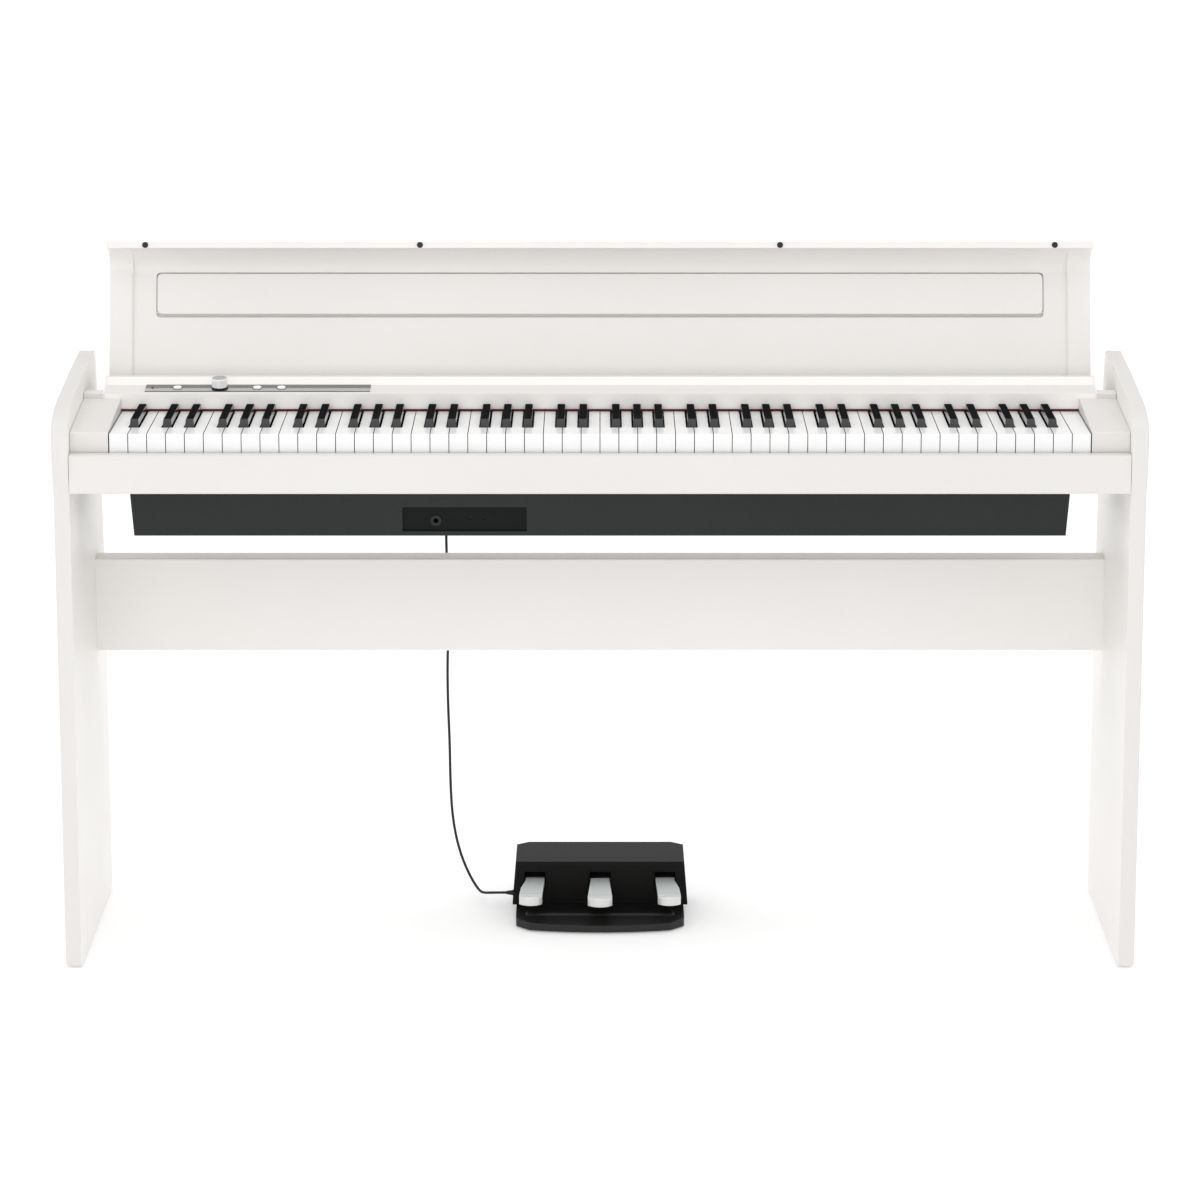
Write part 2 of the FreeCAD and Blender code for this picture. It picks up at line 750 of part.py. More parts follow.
def lid_arm(side):
    """End plate of the lid with its hinge pin riveted on."""
    x = sorted((side * (UPPER_HALF + ARM_GAP), side * (UPPER_HALF + ARM_GAP + ARM_T)))
    hub = Part.makeCylinder(HUB_R, ARM_T, V(x[0], *LID_AXIS), X_AXIS)
    back = LID_INNER - LID_T
    outline = [
        lid_point(-8.0, 4.0),
        lid_point(LID_TAIL, LID_INNER),
        lid_point(LID_TAIL, back + 1),
        lid_point(ARM_TOP_S, back + 1),
        lid_point(ARM_TOP_S, LID_INNER + 4),
        lid_point(8.0, 4.0),
    ]
    plate = slab_x(outline, x).fuse(hub)
    tab_x = sorted((side * UPPER_HALF, x[0] if side > 0 else x[1]))
    tab = lid_block(tab_x, (LID_TAIL, ARM_TOP_S), (back + 1, LID_INNER - LID_RECESS))
    pin_x = sorted((side * (UPPER_HALF - 10.0), side * (UPPER_HALF + ARM_GAP + ARM_T)))
    pin = Part.makeCylinder(PIN_R, pin_x[1] - pin_x[0], V(pin_x[0], *LID_AXIS), X_AXIS)
    return fuse([plate, tab, pin])


def lid_bumpers():
    bumpers = []
    direction = V(0, -math.cos(LID_LEAN), math.sin(LID_LEAN))
    for x in BUMPER_X:
        base = lid_point(LID_LENGTH - LIP_T / 2, LIP_TIP)
        bumpers.append(Part.makeCone(BUMPER_R, BUMPER_R - 0.7, 2.2, V(x, *base), direction))
    return group(bumpers)


# ---- keyboard ----

WHITE_NOTES = ["c", "d", "e", "f", "g", "a", "b"]
BLACK_NOTES = {"c_sharp": 0, "d_sharp": 1, "f_sharp": 3, "g_sharp": 4, "a_sharp": 5}
FIRST_WHITE = 5


def tail_width(index):
    """Width of a white key between the black ones; the C-E group differs from F-B."""
    if index < 3:
        return (3 * WHITE_PITCH - 2 * BLACK_SLOT) / 3
    return (4 * WHITE_PITCH - 3 * BLACK_SLOT) / 4


def tail_left(index):
    """Left side of a white key's tail, from the left edge of its octave."""
    if index < 3:
        return index * (tail_width(index) + BLACK_SLOT)
    return 3 * WHITE_PITCH + (index - 3) * (tail_width(index) + BLACK_SLOT)


def octave_x(octave):
    """Left edge of the octave that holds key number octave * 7."""
    return -KEYBOARD_HALF + (octave * 7 - FIRST_WHITE) * WHITE_PITCH


def stick(centre):
    """Lever under a key, bored for the pivot rod."""
    bar = box((centre - STICK_W / 2, centre + STICK_W / 2), (BLACK_FRONT + 10, KEY_REAR), STICK_Z)
    start = V(centre - STICK_W / 2 - 1, PIVOT_Y, PIVOT_Z)
    return bar.cut(Part.makeCylinder(ROD_R + RUNNING_FIT, STICK_W + 2, start, X_AXIS))


def white_key(octave, index):
    left = octave_x(octave) + index * WHITE_PITCH
    lowest = octave == 0 and index == FIRST_WHITE
    highest = octave * 7 + index - FIRST_WHITE == WHITE_COUNT - 1
    head_x = (left + KEY_GAP / 2, left + WHITE_PITCH - KEY_GAP / 2)
    tail_x0 = octave_x(octave) + tail_left(index)
    tail_x = [tail_x0 + KEY_GAP / 2, tail_x0 + tail_width(index) - KEY_GAP / 2]
    if lowest:
        tail_x[0] = head_x[0]
    if highest:
        tail_x[1] = head_x[1]
    head = box(head_x, (KEY_FRONT, BLACK_FRONT - 1.5), (KEY_BOTTOM, KEY_TOP))
    tail = box(tail_x, (BLACK_FRONT - 1.5, KEY_TAIL), (KEY_BOTTOM, KEY_TOP))
    centre = tail_x0 + tail_width(index) / 2
    key = fuse([head, tail, stick(centre)])
    return soften(key, 1.2, X_AXIS, lambda p: p.z > KEY_TOP - 1 and p.y < KEY_FRONT + 1)


def black_key(octave, index):
    left = octave_x(octave) + tail_left(index) + tail_width(index)
    centre = left + BLACK_SLOT / 2
    base_z = KEY_TOP - 4
    low = BLACK_BASE_W / 2
    high = BLACK_TOP_W / 2
    bottom = [V(centre - low, BLACK_FRONT, base_z), V(centre + low, BLACK_FRONT, base_z)]
    bottom += [V(centre + low, NAME_Y - 2.2, base_z), V(centre - low, NAME_Y - 2.2, base_z)]
    top_z = KEY_TOP + BLACK_RISE
    slant_y = BLACK_FRONT + BLACK_SLANT
    top = [V(centre - high, slant_y, top_z), V(centre + high, slant_y, top_z)]
    top += [V(centre + high, NAME_Y - 2.2, top_z), V(centre - high, NAME_Y - 2.2, top_z)]
    lower_wire = Part.makePolygon(bottom + bottom[:1])
    upper_wire = Part.makePolygon(top + top[:1])
    crown = Part.makeLoft([lower_wire, upper_wire], True, True)
    crown = soften(crown, 1.0, Y_AXIS, lambda p: p.z > top_z - 0.5)
    body = box((centre - low, centre + low), (BLACK_FRONT, KEY_TAIL), (KEY_BOTTOM, base_z))
    return fuse([crown, body, stick(centre)])


def note_keys(note):
    """Every key of one note name across the keyboard."""
    made = []
    for octave in range(9):
        black = note in BLACK_NOTES
        index = BLACK_NOTES[note] if black else WHITE_NOTES.index(note)
        number = octave * 7 + index - FIRST_WHITE
        last = WHITE_COUNT - 2 if black else WHITE_COUNT - 1
        if number < 0 or number > last:
            continue
        made.append(black_key(octave, index) if black else white_key(octave, index))
    return made


def key_frame():
    """Base plate with front rail and the upright supports of the pivot rod."""
    plate = box(sym(KEYBOARD_HALF + FRAME_OUT), (REST_RAIL_Y[0] - 1, 110.0), (BED_Z[1], BED_Z[1] + FRAME_T))
    rail = box(sym(KEYBOARD_HALF), REST_RAIL_Y, (BED_Z[1], REST_RAIL_TOP))
    comb_y = (PIVOT_Y - COMB_HALF_Y, PIVOT_Y + COMB_HALF_Y)
    comb_z = (BED_Z[1], PIVOT_Z + 7)
    comb = []
    for octave in range(1, 9):
        x = octave_x(octave)
        comb.append(box((x - 1, x + 1), comb_y, comb_z))
    for side in (-1, 1):
        x = sorted((side * (KEYBOARD_HALF + 0.5), side * (KEYBOARD_HALF + FRAME_OUT)))
        comb.append(box(x, comb_y, comb_z))
    frame = fuse([plate, rail] + comb)
    return frame.cut(pivot_rod())


def pivot_rod():
    length = 2 * (KEYBOARD_HALF + FRAME_OUT)
    return Part.makeCylinder(ROD_R, length, V(-length / 2, PIVOT_Y, PIVOT_Z), X_AXIS)


def key_rest_felt():
    return box(sym(KEYBOARD_HALF), REST_RAIL_Y, (REST_RAIL_TOP, REST_FELT_TOP))


def contact_board():
    board = box(sym(KEYBOARD_HALF), (0.0, 48.0), (BED_Z[1] + 7, BED_Z[1] + 8.6))
    strip = box(sym(KEYBOARD_HALF), (12.0, 20.0), (BED_Z[1] + 8.6, BED_Z[1] + 15))
    posts = [box((x - 3, x + 3), (30.0, 36.0), (BED_Z[1] + 3, BED_Z[1] + 7)) for x in range(-560, 600, 160)]
    return fuse([board, strip] + posts)


def main_board():
    """Upright board on posts in front of the rear panel."""
    y = MAIN_BOARD_Y
    board = box(MAIN_BOARD_X, (y, y + BOARD_T), MAIN_BOARD_Z)
    posts = []
    for x in (MAIN_BOARD_X[0] + POST_INSET, MAIN_BOARD_X[1] - POST_INSET):
        for z in (MAIN_BOARD_Z[0] + POST_INSET, MAIN_BOARD_Z[1] - POST_INSET):
            posts.append(Part.makeCylinder(POST_R, BED_Y[1] - y, V(x, y, z), Y_AXIS))
    return fuse([board] + posts)


# ---- speaker box ----

def box_wall_x(z):
    share = (z - BOX_Z[0]) / (BOX_Z[1] - BOX_Z[0])
    return BOX_BOTTOM_HALF + share * (BOX_TOP_HALF - BOX_BOTTOM_HALF)


def tapered(inset, y, z):
    """Block whose ends lean out with height, inset from the outer ends."""
    turns = ((-1, z[0]), (1, z[0]), (1, z[1]), (-1, z[1]))
    corners = [V(side * (box_wall_x(height) - inset), y[0], height) for side, height in turns]
    return Part.Face(Part.makePolygon(corners + corners[:1])).extrude(V(0, y[1] - y[0], 0))


def speaker_box():
    outer = tapered(0, BOX_Y, BOX_Z)
    outer = soften(outer, 2.0, X_AXIS, lambda p: p.z < BOX_Z[0] + 1)
    inner_y = (BOX_Y[0] + BOX_T + 4, BOX_Y[1] - BOX_T)
    inner = tapered(BOX_T, inner_y, (BOX_Z[0] + BOX_T, BOX_Z[1] + 1))
    shell = outer.cut(inner)
    bases = [V(x, SPEAKER_Y, BOX_Z[0] - 5) for x in sym(SPEAKER_X)]
    holes = [Part.makeCylinder(SPEAKER_R - SPEAKER_RIM, 20, base) for base in bases]
    window = box(JACK_PANEL_X, (BOX_Y[0] - 1, BOX_Y[0] + 6), JACK_PANEL_Z)
    jack_x = (JACK_X - 9, JACK_X + 9)
    jack_room = box(jack_x, (BOX_Y[0], BOX_Y[0] + 12), (JACK_Z - 9, JACK_Z + 9))
    socket = socket_block(SOCKET_HALF, BOX_Y[1] - 8, BOX_Y[1] + 1)
    return shell.cut(fuse(holes + [window, jack_room, socket]))


def jack_panel():
    panel = box(JACK_PANEL_X, (BOX_Y[0] + 3, BOX_Y[0] + 6), JACK_PANEL_Z)
    jack = Part.makeCylinder(JACK_R, 12, V(JACK_X, BOX_Y[0], JACK_Z), Y_AXIS)
    holes = [Part.makeCylinder(2.0, 12, V(x, BOX_Y[0], JACK_Z + 3), Y_AXIS) for x in JACK_SMALL_X]
    return panel.cut(fuse([jack] + holes))


def phone_jack():
    """6.3 mm socket with a threaded collar."""
    collar = Part.makeCylinder(JACK_R, 5.0, V(JACK_X, BOX_Y[0] + 1.0, JACK_Z), Y_AXIS)
    barrel = Part.makeCylinder(JACK_R - 1, 30.0, V(JACK_X, BOX_Y[0] + 6.0, JACK_Z), Y_AXIS)
    bore = Part.makeCylinder(JACK_BORE_R, 33.0, V(JACK_X, BOX_Y[0], JACK_Z), Y_AXIS)
    return collar.fuse(barrel).removeSplitter().cut(bore)


def speakers():
    made = []
    for x in sym(SPEAKER_X):
        z0 = BOX_Z[0] + BOX_T
        frame = Part.makeCylinder(SPEAKER_R + 5, 4.0, V(x, SPEAKER_Y, z0))
        cone = Part.makeCone(SPEAKER_R - SPEAKER_RIM, 22.0, 22.0, V(x, SPEAKER_Y, z0 + 4))
        magnet = Part.makeCylinder(MAGNET_R, 14.0, V(x, SPEAKER_Y, z0 + 26))
        hollow = Part.makeCone(SPEAKER_R - 9, 14.0, 21.0, V(x, SPEAKER_Y, z0 - 0.1))
        made.append(fuse([frame, cone, magnet]).cut(hollow))
    return group(made)


def speaker_grilles():
    made = []
    for x in sym(SPEAKER_X):
        disc = Part.makeCylinder(SPEAKER_R - SPEAKER_RIM - 0.5, 1.5, V(x, SPEAKER_Y, BOX_Z[0] + 1.5))
        slots = []
        for row in range(-4, 5):
            half = math.sqrt((SPEAKER_R - 14) ** 2 - (row * GRILLE_PITCH) ** 2)
            y = SPEAKER_Y + row * GRILLE_PITCH
            slot_y = (y - GRILLE_SLOT / 2, y + GRILLE_SLOT / 2)
            slots.append(box((x - half, x + half), slot_y, (BOX_Z[0], BOX_Z[0] + 5)))
        made.append(disc.cut(group(slots)))
    return group(made)


def socket_block(half, front, back):
    """Square block about the pedal socket's centre line."""
    return box((CORD_X - half, CORD_X + half), (front, back), (SOCKET_Z - half, SOCKET_Z + half))


def pedal_socket():
    body = socket_block(SOCKET_HALF, BOX_Y[1] - 8, BOX_Y[1])
    return body.cut(box((CORD_X - 5, CORD_X + 5), (BOX_Y[1] - 6, BOX_Y[1] + 1), (SOCKET_Z - 4, SOCKET_Z + 4)))


def power_inlet():
    """Barrel inlet in the rear panel, with its centre contact."""
    body = Part.makeCylinder(DC_R + DC_WALL, 16.0, V(DC_X, CASE_REAR - 16, DC_Z), Y_AXIS)
    bore = Part.makeCylinder(DC_R, 12.0, V(DC_X, CASE_REAR - 11, DC_Z), Y_AXIS)
    return body.cut(bore)


# ---- pedal unit ----

def pedal_base():
    """Floor plate with a slightly bowed front and cut corners."""
    back = COVER_Y[1] + 4
    turn_l = V(-BASE_TURN[0], BASE_TURN[1], PAD_T)
    turn_r = V(BASE_TURN[0], BASE_TURN[1], PAD_T)
    corners = [
        turn_r,
        V(BASE_HALF, BASE_CORNER_Y, PAD_T),
        V(BASE_HALF, back, PAD_T),
        V(-BASE_HALF, back, PAD_T),
        V(-BASE_HALF, BASE_CORNER_Y, PAD_T),
        turn_l,
    ]
    edges = [Part.LineSegment(a, b).toShape() for a, b in zip(corners, corners[1:])]
    edges.append(Part.Arc(turn_l, V(0, BASE_TIP_Y, PAD_T), turn_r).toShape())
    plate = Part.Face(Part.Wire(edges)).extrude(V(0, 0, BASE_T - PAD_T))
    plate = soften(plate, 12.0, Z_AXIS, lambda p: p.y < BASE_TURN[1] + 1)
    plate = soften(plate, 8.0, Z_AXIS, lambda p: p.y < BASE_CORNER_Y + 1 and abs(p.x) > BASE_HALF - 1)
    wedge = slab_x([
        (BASE_TIP_Y - 2, BASE_EDGE_T),
        (BASE_RIDGE_Y, BASE_T),
        (BASE_RIDGE_Y, BASE_T + 5),
        (BASE_TIP_Y - 2, BASE_T + 5),
    ], sym(PEDAL_HALF + 5))
    plate = plate.cut(wedge)
    return fuse([plate, base_ridge()] + base_lugs()).cut(pedal_axle())


def base_ridge():
    """Rounded ridge across the base, its ends turning back."""
    y = BASE_RIDGE_Y + 3
    z = BASE_T - 1.5
    back = V(0, RIDGE_RETURN, 0)
    pieces = [Part.makeCylinder(RIDGE_R, 2 * RIDGE_HALF, V(-RIDGE_HALF, y, z), X_AXIS)]
    for side in (-1, 1):
        corner = V(side * RIDGE_HALF, y, z)
        pieces.append(Part.makeSphere(RIDGE_R, corner))
        pieces.append(Part.makeCylinder(RIDGE_R, RIDGE_RETURN, corner, Y_AXIS))
        pieces.append(Part.makeSphere(RIDGE_R, corner + back))
    return fuse(pieces)


def base_lugs():
    """Uprights that carry the pedal axle."""
    y = (PEDAL_AXLE_Y - 8, PEDAL_AXLE_Y + 5.5)
    z = (BASE_T - 1, PEDAL_AXLE_Z + 7)
    return [box((x - LUG_T / 2, x + LUG_T / 2), y, z) for x in lug_places()]


def lug_places():
    return [p + s * LUG_OFFSET for p in PEDAL_X for s in (-1, 1)]


def pedal_axle():
    half = PEDAL_HALF - 5
    return Part.makeCylinder(AXLE_R, 2 * half, V(-half, PEDAL_AXLE_Y, PEDAL_AXLE_Z), X_AXIS)


def pedal_cover():
    """Moulded box over the pedal levers, open below and slotted for the pedals."""
    outline = [
        (COVER_Y[0] + COVER_LEAN, BASE_T),
        (COVER_Y[0], COVER_TOP_FRONT),
        (COVER_Y[1], COVER_TOP),
        (COVER_Y[1], BASE_T),
    ]
    outer = slab_x(outline, sym(COVER_FOOT_HALF))
    for side in (-1, 1):
        outer = outer.cut(cover_end_cut(side)).cut(cover_corner_cut(side))
    outer = soften(outer, 3.0, X_AXIS, lambda p: p.z > COVER_TOP_FRONT - 2 and p.y < COVER_Y[0] + 2)
    hollow_y = (COVER_Y[0] + COVER_LEAN + COVER_WALL, COVER_Y[1] - COVER_WALL)
    hollow = box(sym(COVER_TOP_HALF - COVER_WALL), hollow_y, (BASE_T - 1, COVER_TOP_FRONT - COVER_WALL))
    for side in (-1, 1):
        hollow = hollow.cut(cover_corner_cut(side, COVER_WALL))
    slot_y = (COVER_Y[0] - 5, COVER_Y[0] + 12)
    slots = [box((x - SLOT_W / 2, x + SLOT_W / 2), slot_y, SLOT_Z) for x in PEDAL_X]
    gland = Part.makeCylinder(GLAND_R, 15.0, V(-COVER_FOOT_HALF - 1, CORD_Y, GLAND_Z), X_AXIS)
    return outer.cut(fuse([hollow, gland] + slots))


def cover_end_cut(side):
    """Wedge that makes the end of the cover lean in towards the top."""
    top_x = side * COVER_TOP_HALF
    foot_x = side * COVER_FOOT_HALF
    beyond = side * (COVER_FOOT_HALF + 10)
    corners = [(foot_x, BASE_T), (top_x, COVER_TOP + 1), (beyond, COVER_TOP + 1), (beyond, BASE_T)]
    wire = Part.makePolygon([V(x, COVER_Y[0] - 10, z) for x, z in corners + corners[:1]])
    return Part.Face(wire).extrude(V(0, 120, 0))


def cover_corner_cut(side, inset=0.0):
    """Slanting cut across a rear corner of the cover; inset moves it in for the hollow."""
    run, rise = COVER_CORNER
    start = (side * (COVER_TOP_HALF - inset - run), COVER_Y[1] - inset)
    end = (side * (COVER_TOP_HALF - inset), COVER_Y[1] - inset - rise)
    reach = (end[0] + (end[0] - start[0]), end[1] + (end[1] - start[1]))
    corners = [start, reach, (reach[0], COVER_Y[1] + 5), (start[0], COVER_Y[1] + 5)]
    wire = Part.makePolygon([V(x, y, BASE_T) for x, y in corners + corners[:1]])
    return Part.Face(wire).extrude(V(0, 0, COVER_TOP))


def toe_half_widths(side):
    """Distances from the lever's centre line to the left and right sides of its toe."""
    outward = 4.0
    inward = 6.0
    left = PEDAL_TOE + (outward if side < 0 else 0.0) - (inward if side > 0 else 0.0)
    right = PEDAL_TOE + (outward if side > 0 else 0.0) - (inward if side < 0 else 0.0)
    return left, right


def pedal_outline(x, side, z):
    """Lever's outline from above; side is the outward side of an outer pedal, 0 for the middle one."""
    left_half, right_half = toe_half_widths(side)
    tip_y = pedal_tip_y(side)
    rear_y = PEDAL_AXLE_Y + 8
    neck_y = COVER_Y[0] - 2
    toe_y = tip_y + 6
    bulge = 2.0
    left_bend = V(x - (PEDAL_NECK + left_half) / 2 - bulge * max(-side, 0), (neck_y + toe_y) / 2, z)
    right_bend = V(x + (PEDAL_NECK + right_half) / 2 + bulge * max(side, 0), (neck_y + toe_y) / 2, z)
    left = [V(x - PEDAL_NECK + 1, rear_y, z), V(x - PEDAL_NECK, neck_y, z)]
    left += [left_bend, V(x - left_half, toe_y, z)]
    right = [V(x + right_half, toe_y, z), right_bend]
    right += [V(x + PEDAL_NECK, neck_y, z), V(x + PEDAL_NECK - 1, rear_y, z)]
    tip = V(x + (right_half - left_half) / 2, tip_y, z)
    edges = [Part.LineSegment(a, b).toShape() for a, b in zip(left, left[1:])]
    edges.append(Part.Arc(left[-1], tip, right[0]).toShape())
    edges += [Part.LineSegment(a, b).toShape() for a, b in zip(right, right[1:])]
    edges.append(Part.LineSegment(right[-1], left[0]).toShape())
    return Part.Face(Part.Wire(edges))


def pedal_tip_y(side):
    return PEDAL_TIP_Y if side else MIDDLE_TIP_Y


def pedal(x, side):
    """Lever with a broad, turned-down toe, creased across the top behind it."""
    top = PEDAL_AXLE_Z + PEDAL_T / 2
    tip_y = pedal_tip_y(side)
    plate = pedal_outline(x, side, top - PEDAL_T).extrude(V(0, 0, PEDAL_T))
    deep = pedal_outline(x, side, top - PEDAL_LIP).extrude(V(0, 0, PEDAL_LIP))
    hollow = deep.copy()
    hollow.translate(V(0, 5.0, -PEDAL_T))
    toe_only = box((x - 60, x + 60), (tip_y - 5, tip_y + 15), (0, 100))
    lip = deep.common(toe_only).cut(hollow)
    body = fuse([plate, lip])
    rim = [e for e in body.Edges if abs(e.CenterOfMass.z - top) < 0.01 and e.CenterOfMass.y < tip_y + 8]
    body = body.makeFillet(2.5, rim)
    crease = box((x - 60, x + 60), (tip_y + 12, tip_y + 12 + CREASE[0]), (top - CREASE[1], top + 1))
    hub = Part.makeCylinder(7.0, 22.0, V(x - 11.0, PEDAL_AXLE_Y, PEDAL_AXLE_Z), X_AXIS)
    lever = fuse([body.cut(crease), hub])
    bore = Part.makeCylinder(AXLE_R + RUNNING_FIT, 60, V(x - 30, PEDAL_AXLE_Y, PEDAL_AXLE_Z), X_AXIS)
    lever = lever.cut(bore)
    lever.rotate(V(x, PEDAL_AXLE_Y, PEDAL_AXLE_Z), X_AXIS, PEDAL_DIP)
    return lever


def pedal_springs():
    """Coil under each lever, standing on the base."""
    made = []
    for x in PEDAL_X:
        height = PEDAL_AXLE_Z - PEDAL_T / 2 - BASE_T - 12.0
        foot = V(x, SPRING_Y, BASE_T + 1.0)
        helix = Part.makeHelix(SPRING_PITCH, height, SPRING_R)
        helix.translate(foot)
        ring = Part.Wire(Part.makeCircle(SPRING_WIRE_R, foot + X_AXIS * SPRING_R, Y_AXIS))
        made.append(Part.Wire(helix).makePipeShell([ring], True, True))
    return group(made)


def strain_relief():
    """Rubber gland where the cord leaves the cover."""
    inside = Part.makeCylinder(GLAND_R, 8.0, V(-COVER_FOOT_HALF, CORD_Y, GLAND_Z), X_AXIS)
    outer_end = V(-COVER_FOOT_HALF - GLAND_LENGTH, CORD_Y, GLAND_Z)
    flange = Part.makeCone(GLAND_TIP_R, GLAND_NECK_R, GLAND_LENGTH, outer_end, X_AXIS)
    return inside.fuse(flange).removeSplitter()


# ---- cord ----

def cord_route():
    """Route points from the pedal gland to the plug."""
    start = -COVER_FOOT_HALF - GLAND_LENGTH
    return [
        V(start, CORD_Y, GLAND_Z),
        V(start - 18.0, CORD_Y, GLAND_Z),
        V(-157.0, 104.0, 15.0),
        V(-164.0, 127.0, 13.5),
        V(-177.0, 146.0, 29.0),
        V(-190.0, 151.0, 62.0),
        V(-198.0, 150.0, 105.0),
        V(-200.5, 148.0, 155.0),
        V(-201.0, 150.0, 210.0),
        V(-203.0, 149.0, 265.0),
        V(-203.5, 151.0, 320.0),
        V(-201.0, 150.0, 377.0),
        V(-202.0, 149.0, 433.0),
        V(-204.0, 151.0, 489.0),
        V(-203.0, 146.0, 544.0),
        V(CORD_X, 134.0, 584.0),
        V(CORD_X, 112.0, SOCKET_Z),
        V(CORD_X, PLUG_REAR, SOCKET_Z),
    ]


def cord_tube():
    """Tube of straight runs joined by tangent arcs."""
    points = cord_route()
    edges = []
    here = points[0]
    radii = []
    for before, corner, after in zip(points, points[1:], points[2:]):
        into = (corner - before).normalize()
        out = (after - corner).normalize()
        turn = math.acos(max(-1.0, min(1.0, into.dot(out))))
        shorter = min((corner - before).Length, (after - corner).Length)
        cut = 0.45 * shorter
        radii.append(cut / math.tan(turn / 2))
        start = corner - into * cut
        end = corner + out * cut
        bisector = (out - into).normalize()
        centre_gap = radii[-1] / math.cos(turn / 2)
        middle = corner + bisector * (centre_gap - radii[-1])
        edges.append(Part.LineSegment(here, start).toShape())
        edges.append(Part.Arc(start, middle, end).toShape())
        here = end
    edges.append(Part.LineSegment(here, points[-1]).toShape())
    path = Part.Wire(edges)
    section = Part.Wire(Part.makeCircle(CORD_R, points[0], points[1] - points[0]))
    tube = path.makePipeShell([section], True, False)
    print("cord radii", [round(r, 1) for r in radii])
    print("cord length %.1f" % path.Length)
    print("cord volume ratio %.4f" % (tube.Volume / (math.pi * CORD_R ** 2 * path.Length)))
    return tube


def cord_plug():
    nose = box((CORD_X - 4.9, CORD_X + 4.9), (BOX_Y[1] - 5, BOX_Y[1] + 1), (SOCKET_Z - 3.9, SOCKET_Z + 3.9))
    grip = box((CORD_X - 7, CORD_X + 7), (BOX_Y[1] + 0.5, PLUG_REAR - 8), (SOCKET_Z - 5.5, SOCKET_Z + 5.5))
    grip = soften(grip, 2.0, Y_AXIS)
    boot = Part.makeCone(4.5, 2.8, 9.0, V(CORD_X, PLUG_REAR - 9, SOCKET_Z), Y_AXIS)
    return fuse([nose, grip, boot])


# ---- build ----

SCREWS = stand_screws()

save("side_panel_left", drill_screws(side_panel(-1)))
save("side_panel_right", drill_screws(side_panel(1)))
save("floor_pads", floor_pads())
save("modesty_panel", drill_screws(modesty_panel()))
save("stand_brackets", drill_screws(group([brackets(), modesty_brackets()])))
save("stand_screws", SCREWS)

save("key_bed", drill_screws(key_bed()))
save("key_slip", key_slip())
save("cheek_blocks", group([cheek_block(-1), cheek_block(1)]))
save("top_panel", top_panel())
save("end_caps", group([end_cap(-1), end_cap(1)]))
save("rear_housing", rear_housing())
save("rear_panel", rear_panel())
save("nameboard_felt", felt_strip())
save("lid_stops", lid_stops())

save("control_strip", control_strip())
save("power_button", button(POWER_X))
save("sound_button", button(BUTTON_X[0]))
save("function_button", button(BUTTON_X[1]))
save("volume_knob", volume_knob())
save("volume_shaft", volume_shaft())
save("circuit_boards", group([control_board(), control_switches(), volume_pot(), main_board()]))

save("lid_panel", lid_panel())
save("lid_arms", group([lid_arm(-1), lid_arm(1)]))
save("lid_bumpers", lid_bumpers())
save("music_rest", music_rest())

for note in WHITE_NOTES + sorted(BLACK_NOTES):
    save("keys_" + note, group(note_keys(note)))
save("key_frame", key_frame())
save("pivot_rod", pivot_rod())
save("key_rest_felt", key_rest_felt())
save("contact_board", contact_board())

save("speaker_box", speaker_box())
save("jack_panel", jack_panel())
save("phone_jack", phone_jack())
save("speakers", speakers())
save("speaker_grilles", speaker_grilles())
save("pedal_socket", pedal_socket())
save("power_inlet", power_inlet())

save("pedal_base", pedal_base())
save("pedal_cover", pedal_cover())
save("pedal_axle", pedal_axle())
for name, x, side in zip(("pedal_left", "pedal_middle", "pedal_right"), PEDAL_X, (-1, 0, 1)):
    save(name, pedal(x, side))
save("pedal_springs", pedal_springs())
save("strain_relief", strain_relief())
save("pedal_cord", cord_tube())
save("pedal_plug", cord_plug())
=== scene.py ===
import bpy
import bmesh
import math
from mathutils import Matrix, Vector


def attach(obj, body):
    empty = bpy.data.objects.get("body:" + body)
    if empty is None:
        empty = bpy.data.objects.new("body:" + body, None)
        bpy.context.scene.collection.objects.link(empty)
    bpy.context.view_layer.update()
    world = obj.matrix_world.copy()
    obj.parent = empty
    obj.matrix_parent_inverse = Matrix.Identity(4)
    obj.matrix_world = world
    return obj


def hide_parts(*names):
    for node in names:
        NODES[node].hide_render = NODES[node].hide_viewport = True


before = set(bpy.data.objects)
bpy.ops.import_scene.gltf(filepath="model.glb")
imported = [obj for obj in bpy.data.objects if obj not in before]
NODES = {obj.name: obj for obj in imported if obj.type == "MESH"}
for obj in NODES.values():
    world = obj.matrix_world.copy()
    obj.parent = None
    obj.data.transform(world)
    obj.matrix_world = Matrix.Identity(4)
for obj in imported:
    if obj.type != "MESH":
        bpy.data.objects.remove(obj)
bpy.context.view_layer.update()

MM = 0.001
WHITE_NOTES = ["c", "d", "e", "f", "g", "a", "b"]
BLACK_NOTES = ["c_sharp", "d_sharp", "f_sharp", "g_sharp", "a_sharp"]

# ---- camera: a long lens well in front, looking down a little; metres ----

CAMERA_PLACE = (0.0, -5.164, 1.715)
CAMERA_TILT = math.radians(11.33)
CAMERA_LENS = 123.45
CAMERA_SENSOR = 36.0
CAMERA_SHIFT_Y = -0.15


def make_camera():
    data = bpy.data.cameras.new("camera")
    data.lens = CAMERA_LENS
    data.sensor_width = CAMERA_SENSOR
    data.shift_y = CAMERA_SHIFT_Y
    camera = bpy.data.objects.new("camera", data)
    camera.location = CAMERA_PLACE
    camera.rotation_euler = (math.pi / 2 - CAMERA_TILT, 0, 0)
    bpy.context.scene.collection.objects.link(camera)
    bpy.context.scene.camera = camera


make_camera()
bpy.context.scene.view_settings.view_transform = "Standard"


# ---- cord ----

